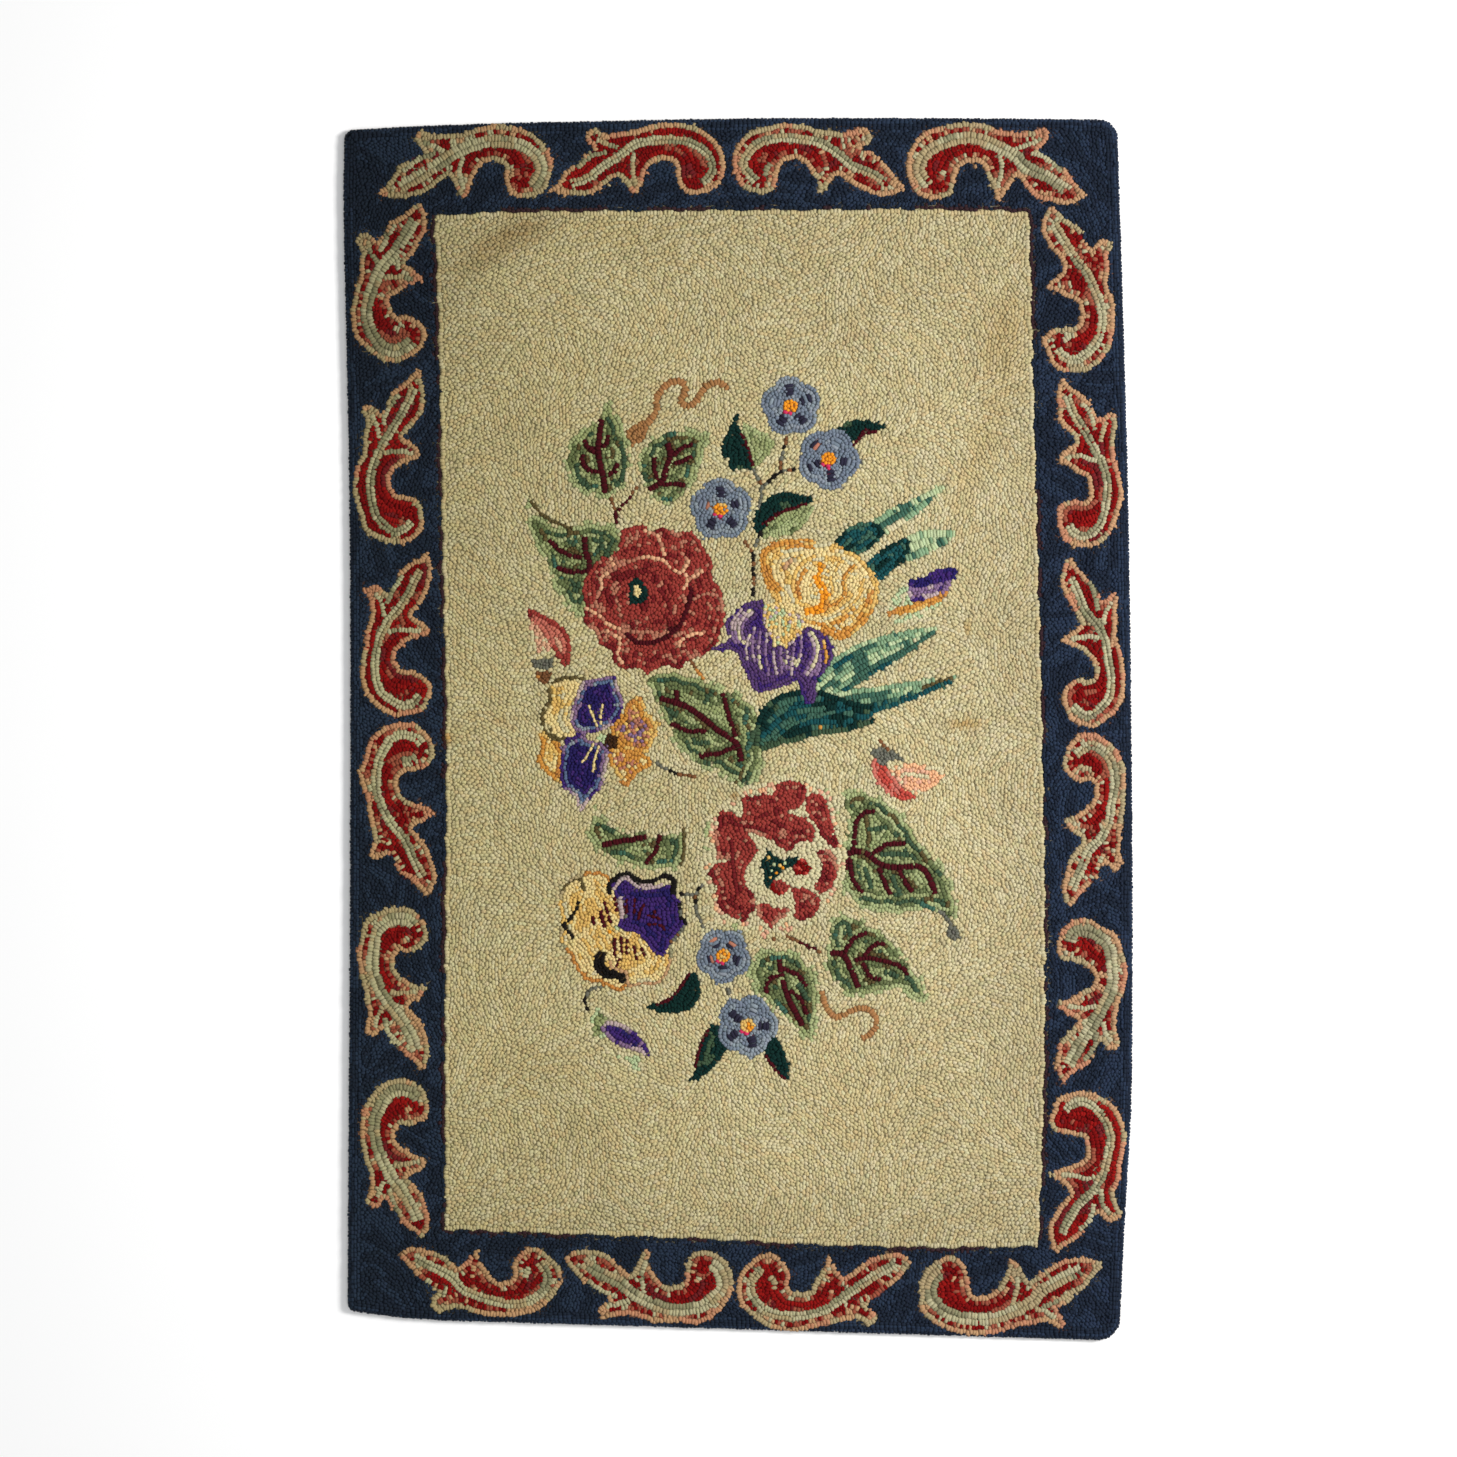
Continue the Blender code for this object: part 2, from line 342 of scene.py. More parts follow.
def pick_yarns(mix, count):
    """Yarn numbers for a row of loops. A colour goes on for a few loops before the next one starts."""
    if mix in YARNS:
        return np.full(count, YARN_NAMES.index(mix))
    run, shares = MIXES[mix]
    weights = np.array([weight for _, weight in shares], float)
    numbers = np.array([YARN_NAMES.index(name) for name, _ in shares])
    choice = rng.choice(len(shares), count, p=weights / weights.sum())
    starts = rng.random(count) < 1 / run
    starts[0] = True
    latest = np.maximum.accumulate(np.where(starts, np.arange(count), 0))
    return numbers[choice[latest]]


class Design:
    """Rows of loops in the order in which they were drawn. A later shape covers what lies under it."""

    def __init__(self):
        self.covers = []
        self.rows = []

    def cover(self, shape):
        self.covers.append(shape.outline)

    def loops(self, x, y, turn, length, width, mix, rank):
        """Adds loops. A lower rank gets its place first."""
        n = len(x)
        x = x + rng.normal(0, SHIFT, n)
        y = y + rng.normal(0, SHIFT, n)
        turn = turn + rng.normal(0, 0.07, n)
        columns = [x, y, turn, np.full(n, length), np.full(n, width), pick_yarns(mix, n)]
        columns += [np.full(n, len(self.covers)), np.full(n, rank)]
        self.rows.append(np.column_stack(columns))

    def row(self, points, mix, bar=0.0, rank=1, width=LOOP_WIDTH, length=LOOP_LENGTH):
        """One row. With a bar length its loops lie across the row, and along it otherwise."""
        points = np.asarray(points, float)
        if len(points) < 2 or run_along(points)[-1] < 1.5:
            return
        if bar:
            x, y, turn = spread(points, BAR_PITCH)
            self.loops(x, y, turn + math.pi / 2, bar, BAR_PITCH, mix, rank)
        else:
            x, y, turn = spread(points, length)
            self.loops(x, y, turn, length, width, mix, rank)

    def fill(self, shape, mixes, bar=BAR_LENGTH, start=0.0):
        """Rings of bars from the outline inwards. The last yarn goes on to the middle."""
        depth = start
        index = 0
        deepest = shape.depth()
        while depth < deepest - 0.2:
            mix = mixes[min(index, len(mixes) - 1)]
            left = deepest - depth
            step = bar if left > 1.3 * bar else max(min(left, bar), 2.4)
            for run in shape.ring(depth + step / 2):
                self.row(run, mix, bar=step, rank=0 if index == 0 else 1)
            depth += step
            index += 1

    def patch(self, shape, mixes, bar=BAR_LENGTH, start=0.0):
        self.cover(shape)
        self.fill(shape, mixes, bar, start)

    def stroke(self, points, widths, mixes, bar=BAR_LENGTH):
        self.patch(ribbon(points, widths), mixes, bar)

    def band(self, points, mix, wide):
        """Narrow rows side by side along a smooth line."""
        count = max(int(round(wide / BAND_ROW)), 1)
        for number in range(count):
            place = (number - (count - 1) / 2) * wide / count
            self.row(beside(points, place), mix, rank=-1, width=wide / count)

    def line(self, points, mix, bar=0.0, width=3.2):
        self.row(smooth_curve(points), mix, bar=bar, rank=-1, width=width)


# Border scrolls, on a scroll one long and one high: its outline and the lines that run through it
SCROLL_OUTLINE = (
    (0.00, 0.08), (0.00, 0.08), (0.05, 0.19), (0.10, 0.34), (0.15, 0.47), (0.21, 0.57), (0.26, 0.63),
    (0.225, 0.73), (0.215, 0.83), (0.25, 0.93), (0.25, 0.93), (0.32, 0.86), (0.40, 0.86), (0.48, 0.89),
    (0.57, 0.95), (0.69, 0.99), (0.81, 0.95), (0.91, 0.84), (0.98, 0.64), (1.00, 0.45), (0.99, 0.27),
    (0.95, 0.12), (0.88, 0.03), (0.81, 0.01), (0.75, 0.09), (0.72, 0.26), (0.715, 0.42), (0.66, 0.48),
    (0.60, 0.45), (0.56, 0.33), (0.53, 0.18), (0.51, 0.00), (0.51, 0.00), (0.48, 0.03), (0.44, 0.15),
    (0.40, 0.28), (0.35, 0.20), (0.28, 0.08), (0.20, 0.01), (0.11, 0.00),
)
SCROLL_MAIN_LINE = (
    (0.13, 0.17), (0.23, 0.28), (0.33, 0.41), (0.41, 0.57), (0.50, 0.68), (0.61, 0.76), (0.72, 0.78),
    (0.83, 0.71), (0.90, 0.58), (0.93, 0.42), (0.91, 0.28), (0.87, 0.19),
)
SCROLL_LOBE_LINE = ((0.27, 0.76), (0.33, 0.69), (0.40, 0.64))
SCROLL_SPUR_LINE = ((0.49, 0.16), (0.475, 0.34), (0.475, 0.50), (0.50, 0.64))
SCROLL_LEAF_LINE = ((0.16, 0.40), (0.24, 0.52), (0.33, 0.60))
SCROLL_HOLLOW = ((0.79, 0.44), (0.80, 0.33), (0.82, 0.27))

# Columns: side, where the leaf's tip and the curl's end are along it, the lines that the scroll's inner and
# outer sides reach, and the style
SCROLLS = (
    ("top", -316, -161, 463, 528, 0),
    ("top", -166, -11, 465, 530, 1),
    ("top", 149, -5, 466, 531, 2),
    ("top", 306, 147, 460, 531, 0),
    ("bottom", -300, -156, -452, -515, 2),
    ("bottom", -156, -4, -454, -522, 0),
    ("bottom", 155, 0, -458, -528, 2),
    ("bottom", 321, 157, -461, -531, 0),
    ("left", 463, 320, -272, -339, 0),
    ("left", 317, 161, -273, -335, 1),
    ("left", 158, 10, -267, -331, 1),
    ("left", -149, 6, -264, -330, 2),
    ("left", -300, -154, -270, -333, 0),
    ("left", -448, -305, -269, -331, 0),
    ("right", 460, 312, 266, 331, 2),
    ("right", 311, 157, 277, 336, 1),
    ("right", 152, 1, 282, 338, 1),
    ("right", -158, -3, 283, 341, 2),
    ("right", -313, -165, 277, 341, 0),
    ("right", -462, -315, 271, 340, 1),
)

# Per style: the yarns of the rings inside the outline, the yarn of the long line and its width, and the
# yarns of the side lines and the curl
SCROLL_STYLES = (
    (("mottled", "reds"), "sages", 11.4, "sages", "mottled"),
    (("reds", "reds"), "sages", 8.0, "sages", "reds"),
    (("mottled", "reds"), "sages", 8.8, "mottled", "sages"),
)
SIDE_BAR = 5.0


def scroll(design, side, tip, curl, inner, outer, style):
    """One scroll: a pointed leaf, a lobe and a spur on an arch that ends in a curl."""
    if side in ("top", "bottom"):
        origin = np.array((tip, inner), float)
        u = np.array((curl - tip, 0.0))
        v = np.array((0.0, outer - inner))
    else:
        origin = np.array((inner, tip), float)
        u = np.array((0.0, curl - tip))
        v = np.array((outer - inner, 0.0))

    def on_rug(points, uneven):
        return [origin + a * u + b * v + rng.normal(0, uneven, 2) for a, b in points]

    shape = wavy(area(on_rug(SCROLL_OUTLINE, 1.0)), 0.4, 8.0)
    design.cover(shape)
    for run in shape.ring(EDGE_BAR / 2):
        design.row(run, "outline", bar=EDGE_BAR, rank=0)
    rings, main, wide, lines, curl_mix = SCROLL_STYLES[style]
    design.fill(shape, rings, start=EDGE_BAR)
    main_line = on_rug(SCROLL_MAIN_LINE, 0.8)
    for place in (-0.25, 0.25):
        design.row(beside(main_line, place * wide), main, bar=wide / 2, rank=-1)
    for points in (SCROLL_LOBE_LINE, SCROLL_SPUR_LINE, SCROLL_LEAF_LINE):
        design.row(smooth_curve(on_rug(points, 0.8)), lines, bar=SIDE_BAR, rank=-1)
    design.row(smooth_curve(on_rug(SCROLL_HOLLOW, 0.8)), curl_mix, bar=6.0, rank=-1)


# Leaves
MIST_BAR = 3.8
LEAF_RINGS = ("mist", "halo", "deep rows", "leaf rows", "deep rows", "leaf rows")
FLANK = 4.2


def wavy(shape, height, length):
    """The shape with small waves along its outline."""
    run = run_along(closed_line(shape.outline))[:-1]
    long_wave = np.sin(2 * math.pi * run / length)
    short_wave = 0.5 * np.sin(2 * math.pi * run / (0.43 * length) + 1)
    wave = height * (long_wave + short_wave)
    return Shape(shape.outline + outward(shape.outline) * wave[:, None])


def leaf(design, outline, veins, painted_foot_shade=()):
    """Leaf that fades into the field, with maroon veins. shades are dark lines between the veins."""
    shape = wavy(area(outline), 0.9, 19.0)
    design.patch(shape, LEAF_RINGS, bar=MIST_BAR)
    for number, points in enumerate(veins):
        design.row(smooth_curve(points), "maroon", bar=4.2 if number else 5.4, rank=-1)
    for points in painted_foot_shade:
        design.row(smooth_curve(points), "deep leaves", bar=5.0, rank=-1)
    for points in veins:
        for side in (-FLANK, FLANK):
            design.row(beside(points, side), "flank", rank=0, width=2.8, length=3.4)


def split_leaf(design, dark, pale, line):
    """Leaf with one dark half and one pale half, parted by a maroon line."""
    design.patch(wavy(area(pale), 0.6, 11.0), ("halo", "leaf rows"), bar=3.8)
    design.patch(wavy(area(dark), 0.5, 9.0), ("dark greens",))
    design.row(smooth_curve(line), "maroon", rank=-1, width=3.2, length=3.4)


def dark_leaf(design, outline, line):
    """Small dark leaf with a maroon line along one edge."""
    design.patch(wavy(area(outline), 0.5, 9.0), ("dark greens",))
    design.row(smooth_curve(line), "maroon", rank=-1, width=3.0, length=3.4)


def stripes(design, points, widths, mixes):
    """Blade whose rows run from its base to its tip. mixes lists them from its left side to its right: the
    yarn of the first part, that of the rest, and the share of the length where it changes."""
    shape = ribbon(points, widths)
    design.cover(shape)
    spine = smooth_curve(points)
    run = run_along(spine)
    half = eased_widths(widths, run / run[-1])
    along = np.gradient(spine, axis=0)
    along /= np.maximum(np.hypot(*along.T), 1e-6)[:, None]
    across = np.stack([-along[:, 1], along[:, 0]], axis=1)
    bar = 2 * max(widths) / len(mixes)
    for number, (first, second, change) in enumerate(mixes):
        place = 1 - (2 * number + 1) / len(mixes)
        line = spine + across * (place * half)[:, None]
        stop = int(change * len(line))
        rank = 1 if 0 < number < len(mixes) - 1 else 0
        design.row(line[: stop + 1], first, bar=bar, rank=rank)
        design.row(line[stop:], second, bar=bar, rank=rank)


def leaves(design):
    leaf(
        design,
        ((-111, 287), (-104, 274), (-99, 260), (-93, 245), (-92, 230), (-96, 216), (-106, 206), (-118, 201),
         (-132, 204), (-144, 212), (-151, 226), (-152, 239), (-146, 253), (-136, 263), (-126, 272),
         (-118, 283)),
        (((-116, 206), (-118, 221), (-122, 241), (-121, 257), (-119, 270)),
         ((-118, 224), (-130, 226), (-136, 233), (-135, 240)), ((-122, 241), (-130, 245), (-135, 253)),
         ((-117, 221), (-109, 224), (-105, 232)), ((-120, 244), (-115, 250), (-113, 257))),
        (((-141, 232), (-139, 219), (-129, 210)), ((-104, 254), (-100, 240), (-101, 220), (-108, 212))),
    )
    leaf(
        design,
        ((-21, 256), (-40, 262), (-55, 264), (-70, 259), (-82, 249), (-88, 235), (-86, 219), (-79, 206),
         (-70, 194), (-58, 193), (-46, 202), (-38, 216), (-32, 232), (-28, 245)),
        (((-78, 209), (-67, 216), (-62, 230), (-59, 240), (-62, 249)), ((-72, 212), (-58, 214), (-46, 213)),
         ((-70, 217), (-73, 227), (-73, 237)), ((-58, 236), (-50, 245), (-39, 249)),
         ((-56, 232), (-48, 234), (-40, 238))),
        (((-80, 240), (-82, 228), (-80, 216)), ((-68, 205), (-64, 200), (-58, 202)),
         ((-66, 255), (-54, 259))),
    )
    leaf(
        design,
        ((-184, 199), (-170, 187), (-156, 179), (-137, 182), (-112, 180), (-100, 164), (-118, 131),
         (-133, 101), (-147, 103), (-160, 121), (-171, 148), (-182, 174)),
        (((-134, 168), (-133, 155), (-130, 145), (-129, 130)),
         ((-165, 165), (-156, 156), (-145, 151), (-133, 150)), ((-159, 141), (-145, 137), (-130, 138))),
        (((-150, 166), (-142, 160)), ((-158, 130), (-146, 122), (-136, 120)), ((-120, 172), (-119, 156))),
    )
    design.line(((-182, 199), (-170, 186), (-157, 179), (-144, 176)), "olive", bar=3.4)
    leaf(
        design,
        ((-83, 45), (-79, 31), (-67, 7), (-51, -21), (-30, -34), (-10, -44), (2, -56), (12, -53), (24, -30),
         (26, 2), (17, 20), (2, 32), (-22, 42), (-45, 50), (-65, 53)),
        (((3, -28), (-2, -12), (-18, -1), (-30, 9), (-44, 19), (-68, 27)), ((-1, -10), (-9, 14), (-13, 31)),
         ((-59, 5), (-45, -1), (-28, -2)), ((-1, -13), (-14, -21), (-34, -23)),
         ((-42, 17), (-52, 24), (-54, 34))),
        (((-58, 14), (-46, 8)), ((-40, -12), (-24, -12)), ((-30, 22), (-22, 34)), ((6, 4), (8, 20)),
         ((10, -14), (14, 0)), ((-36, -28), (-24, -30))),
    )
    design.line(((5, -32), (2, -42), (-3, -48)), "olive")
    leaf(
        design,
        ((-126, -68), (-133, -88), (-124, -106), (-107, -117), (-83, -123), (-51, -122), (-44, -88),
         (-50, -86), (-70, -91), (-92, -90), (-110, -82)),
        (((-119, -101), (-107, -99), (-90, -96), (-80, -94)), ((-68, -92), (-72, -106), (-81, -118))),
        (((-120, -84), (-108, -90)), ((-112, -108), (-98, -108)), ((-62, -96), (-60, -114))),
    )
    design.line(((-48, -86), (-47, -103), (-50, -119)), "olive")
    leaf(
        design,
        ((89, -58), (99, -51), (115, -54), (132, -62), (148, -77), (160, -95), (175, -112), (186, -131),
         (192, -152), (190, -171), (176, -161), (159, -158), (142, -161), (124, -160), (104, -156),
         (91, -142), (88, -123), (90, -108), (97, -90), (92, -73)),
        (((93, -110), (102, -107), (113, -109), (124, -118), (139, -121), (157, -120), (166, -128),
          (172, -144)), ((101, -105), (103, -82), (110, -73), (120, -72)),
         ((117, -109), (130, -101), (146, -100)), ((97, -112), (100, -130), (109, -144)),
         ((122, -118), (128, -134), (134, -145)), ((140, -123), (146, -134), (153, -142))),
        (((124, -110), (140, -109), (155, -111)), ((96, -62), (95, -70)), ((166, -114), (179, -130)),
         ((150, -148), (168, -156), (178, -160)), ((112, -88), (130, -86)), ((110, -120), (117, -140)),
         ((134, -128), (142, -146))),
    )
    leaf(
        design,
        ((86, -160), (97, -160), (111, -167), (126, -173), (137, -185), (148, -200), (161, -217), (166, -233),
         (158, -240), (144, -231), (128, -231), (109, -235), (92, -232), (79, -219), (74, -205), (78, -192),
         (76, -175)),
        (((80, -196), (91, -197), (98, -209), (105, -226)), ((93, -195), (102, -182), (113, -178)),
         ((102, -202), (111, -200), (124, -202), (141, -207), (148, -215)),
         ((108, -200), (120, -188), (129, -188)), ((109, -204), (114, -215), (124, -219))),
        (((86, -172), (84, -184)), ((96, -172), (98, -180)), ((150, -218), (157, -230)),
         ((86, -206), (88, -220)), ((128, -212), (140, -216))),
    )
    leaf(
        design,
        ((15, -197), (30, -191), (50, -193), (67, -209), (72, -234), (70, -259), (64, -275), (49, -264),
         (33, -248), (19, -236), (8, -215)),
        (((36, -201), (38, -215), (44, -235), (56, -259)), ((38, -214), (27, -219), (24, -231)),
         ((39, -209), (52, -215), (60, -225)), ((42, -227), (54, -235), (60, -250))),
        (((18, -208), (20, -220)), ((28, -200), (44, -199)), ((52, -222), (62, -238)),
         ((32, -236), (42, -248))),
    )
    design.line(((174, -158), (182, -165), (187, -172)), "grey", bar=3.6)
    design.patch(blob((188, -178), 5.5, 7, 20), ("grey",))


def split_leaves(design):
    split_leaf(
        design,
        ((5, 279), (-3, 273), (-8, 262), (-14, 250), (-14, 241), (-8, 235), (-8, 227), (2, 226), (12, 228),
         (11, 238), (7, 250), (2, 261), (1, 269)),
        ((3, 266), (14, 263), (25, 258), (32, 249), (27, 240), (19, 232), (12, 226), (10, 243)),
        ((2, 259), (7, 249), (10, 240), (13, 229)),
    )
    dark_leaf(
        design,
        ((87, 262), (96, 269), (112, 269), (128, 266), (122, 260), (112, 262), (106, 257), (99, 250),
         (93, 255)),
        ((100, 247), (105, 253), (111, 258), (122, 260)),
    )
    split_leaf(
        design,
        ((15, 171), (15, 190), (27, 202), (42, 207), (71, 200), (54, 195), (38, 188), (26, 178)),
        ((20, 168), (42, 169), (60, 180), (66, 196), (50, 194), (30, 182)),
        ((20, 178), (38, 189), (60, 197)),
    )
    dark_leaf(
        design,
        ((-38, -212), (-33, -225), (-36, -239), (-47, -247), (-67, -248), (-81, -243), (-68, -238),
         (-56, -232), (-48, -218)),
        ((-42, -213), (-51, -226), (-60, -236), (-72, -241)),
    )
    dark_leaf(
        design,
        ((-22, -257), (-10, -267), (-10, -280), (-22, -296), (-34, -306), (-43, -307), (-38, -299),
         (-34, -283), (-29, -268)),
        ((-26, -262), (-33, -278), (-38, -296)),
    )
    dark_leaf(
        design,
        ((30, -270), (38, -275), (43, -291), (45, -308), (35, -300), (26, -290), (23, -280)),
        ((24, -284), (33, -298), (42, -306)),
    )


def stems(design):
    dark_runs = (
        ((43, 256), (39, 240), (36, 226)), ((13, 228), (17, 219), (21, 212), (18, 193)),
        ((51, 227), (35, 223), (23, 212)), ((5, 165), (13, 151), (13, 116)), ((19, 171), (14, 158)),
        ((-31, -135), (-38, -144), (-51, -144)), ((-38, -144), (-36, -160), (-30, -174)),
        ((-72, -29), (-55, -38), (-36, -42)), ((-10, -226), (-7, -232)),
    )
    for points in dark_runs:
        design.line(points, "stem")
    brown_runs = (
        ((-112, 202), (-108, 192), (-106, 179)), ((-88, 212), (-95, 202), (-105, 190)),
        ((-42, 60), (-30, 43)), ((31, -186), (34, -178), (53, -186), (73, -195)),
    )
    for points in brown_runs:
        design.line(points, "brown stem")


def tendrils(design):
    high = (
        (-84, 262), (-72, 276), (-71, 290), (-61, 301), (-50, 304), (-46, 295),
        (-51, 286), (-43, 282), (-35, 288), (-29, 298), (-17, 303), (-9, 297),
    )
    design.line(high, "tendril", bar=6.4)
    design.stroke(((-96, 250), (-90, 256), (-80, 268)), (5, 8, 3), ("tendril",))
    low = (
        (73, -229), (78, -245), (87, -252), (101, -245), (114, -245), (121, -255), (116, -266), (108, -270),
    )
    design.line(low, "tendril", bar=5.6)


# Flowers
def petal(design, points, mixes, bar=3.8):
    """Petal with an uneven edge, in rings of short rows that point inwards."""
    design.patch(wavy(area(points), 0.6, 9.0), mixes, bar)


def blue_flower(design, centre, radius, turn, speckled):
    """Five blue petals with dark spots, round an orange eye."""
    middle = np.array(centre, float)
    around = np.linspace(0, 2 * math.pi, 150, endpoint=False)
    size = radius * (0.82 + 0.20 * np.sqrt(np.abs(np.cos(2.5 * (around - math.radians(turn))))))
    outline = middle + np.stack([size * np.cos(around), size * np.sin(around)], axis=1)
    design.patch(Shape(outline), ("blues", "light blues", "blues"), bar=3.6)
    for i in range(5):
        angle = math.radians(turn + 72 * i)
        out = np.array([math.cos(angle), math.sin(angle)])
        mix = "speckled blue" if i in speckled else "spot"
        design.row([middle + 0.36 * radius * out, middle + 0.73 * radius * out], mix, bar=8.0, rank=-1)
    design.patch(blob(centre, 6.6, 6.2), ("eye",), bar=3.2)
    design.row([middle + (-7.0, -4.2), middle + (1.5, -7.2)], "magenta", rank=-1, width=3.0)


def blue_flowers(design):
    blue_flower(design, (46, 282), 26, 95, (1, 4))
    blue_flower(design, (79, 236), 27, 62, (0, 1, 2, 4))
    blue_flower(design, (-15, 192), 27, 92, (1, 4))
    blue_flower(design, (-13, -198), 24, 52, (0, 1, 2, 3, 4))
    blue_flower(design, (8, -259), 27, 70, (0,))


ROSE_ONE = (
    (-101, 172), (-92, 177), (-83, 178), (-75, 174), (-67, 176), (-55, 172), (-43, 173), (-34, 166),
    (-29, 156), (-22, 146), (-23, 133), (-15, 122), (-12, 109), (-12, 96), (-17, 81), (-22, 71), (-31, 64),
    (-44, 60), (-50, 52), (-60, 55), (-67, 54), (-79, 49), (-88, 53), (-97, 52), (-109, 57), (-110, 68),
    (-121, 74), (-124, 84), (-134, 92), (-134, 109), (-136, 125), (-130, 137), (-124, 146), (-113, 152),
    (-105, 156),
)
ROSE_ONE_LINES = (
    ((-83, 174), (-78, 171), (-70, 169), (-66, 158), (-64, 151)),
    ((-120, 132), (-112, 138), (-100, 144), (-83, 150), (-67, 148), (-58, 140)),
    ((-50, 154), (-44, 146), (-50, 137), (-57, 140)),
    ((-46, 136), (-44, 128), (-49, 121)),
    ((-30, 139), (-38, 134), (-44, 130)),
    ((-121, 133), (-119, 125), (-124, 113), (-121, 101)),
    ((-134, 106), (-120, 98), (-113, 91), (-95, 85), (-78, 85), (-70, 81)),
    ((-117, 92), (-112, 84), (-103, 78), (-105, 66), (-101, 56)),
    ((-56, 73), (-44, 81), (-30, 84)),
    ((-40, 113), (-28, 118), (-16, 116)),
    ((-106, 140), (-112, 150)),
)
ROSE_ONE_CREASES = (
    ((-98, 84), (-87, 75), (-67, 78), (-51, 91), (-43, 110), (-41, 124)),
    ((-70, 124), (-62, 112), (-58, 100)),
    ((-104, 128), (-98, 136), (-84, 138)),
)
ROSE_ONE_SPECKLES = (
    ((-100, 66), (-84, 62)), ((-62, 64), (-46, 68)), ((-28, 96), (-26, 108)), ((-92, 164), (-76, 162)),
    ((-112, 116), (-104, 104), (-92, 98)), ((-72, 100), (-62, 118), (-66, 134)),
)


def rose_one(design):
    """Full rose, speckled, with thin lines between its petals and a maroon crease."""
    petal(design, ROSE_ONE, ("roses", "speckled rose", "roses", "speckled rose", "roses"))
    for points in ROSE_ONE_LINES:
        design.line(points, "petal lines", width=3.4)
    for points in ROSE_ONE_CREASES[:1]:
        design.line(points, "maroon", bar=4.6)
    for points in ROSE_ONE_CREASES[1:]:
        design.line(points, "deep rose", bar=4.0)
    for points in ROSE_ONE_SPECKLES:
        design.band(points, "speckled rose", 8.4)
    design.patch(blob((-88, 120), 8.6, 12.0, 0, 3, 0.10, 0.5), ("dark green",), bar=4.4)
    design.patch(blob((-88, 120), 3.4, 6.0), ("pale yellow",))


ROSE_TWO_PETALS = (
    ((4, -60), (18, -58), (31, -56), (34, -48), (47, -45), (59, -49), (59, -59), (55, -67), (43, -72),
     (54, -76), (64, -82), (67, -91), (63, -99), (53, -99), (45, -107), (37, -104), (31, -98), (20, -94),
     (11, -91), (4, -88), (-2, -80), (4, -74)),
    ((-17, -73), (-4, -73), (2, -82), (6, -90), (15, -99), (15, -110), (9, -118), (6, -126), (8, -137),
     (14, -145), (15, -155), (10, -163), (5, -169), (-5, -164), (-15, -158), (-18, -149), (-20, -136),
     (-27, -125), (-21, -119), (-19, -103), (-23, -94), (-18, -86)),
    ((62, -57), (70, -56), (78, -63), (80, -74), (84, -86), (88, -99), (87, -105), (79, -101), (73, -94),
     (68, -84), (60, -74), (59, -66)),
    ((69, -108), (78, -105), (85, -112), (87, -123), (84, -134), (77, -142), (69, -142), (67, -137),
     (72, -128), (73, -118)),
    ((47, -142), (56, -138), (66, -143), (72, -151), (69, -160), (62, -166), (52, -167), (49, -161),
     (50, -152)),
    ((16, -154), (24, -152), (32, -156), (44, -157), (42, -164), (34, -168), (30, -176), (23, -169),
     (17, -163)),
)
ROSE_TWO_EYE = (
    (23, -98), (30, -109), (40, -114), (52, -112), (49, -119), (42, -122), (37, -126), (31, -132), (27, -139),
    (23, -136), (22, -124), (20, -116), (25, -109),
)


def rose_two(design):
    """Open rose: red petals on a cream ground, round a dark three-cornered eye."""
    ground = (
        (6, -50), (28, -46), (46, -37), (66, -46), (84, -56), (90, -78), (95, -102), (94, -124), (88, -146),
        (72, -166), (52, -174), (30, -183), (4, -177), (-20, -166), (-28, -146), (-34, -124), (-30, -98),
        (-28, -78), (-14, -64),
    )
    design.patch(wavy(area(ground), 1.0, 14.0), ("mist blush", "blush", "light cream"))
    for points in ROSE_TWO_PETALS:
        petal(design, points, ("roses", "speckled rose", "roses"))
    design.line(((-26, -115), (-19, -116), (-11, -115)), "light cream")
    design.line(((-9, -80), (2, -84), (24, -88)), "deep rose", bar=3.6)
    design.line(((-6, -96), (-4, -124), (0, -146)), "deep rose", bar=3.6)
    petal(design, ((48, -117), (56, -113), (63, -119), (62, -126), (54, -128), (48, -124)), ("red rose",))
    petal(design, ((29, -134), (36, -131), (43, -136), (42, -143), (34, -145), (29, -141)), ("red rose",))
    design.patch(area(ROSE_TWO_EYE), ("dark green",), bar=3.4)
    for x, y, mix in (
        (27, -112, "yellow"), (31, -118, "mint"), (36, -119, "yellow"), (29, -124, "mint"),
        (33, -126, "orange"), (39, -121, "orange"), (28, -130, "yellow"), (41, -117, "mint"),
    ):
        design.row(((x - 1.6, y), (x + 1.6, y)), mix, rank=-1, width=2.8, length=3.2)


PANSY_ONE_STREAKS = (
    ((-131, 21), (-127, 12), (-123, 2)), ((-118, 22), (-120, 13), (-120, 3)),
    ((-126, -12), (-131, -22), (-137, -30)), ((-121, -14), (-125, -26), (-127, -38)),
)


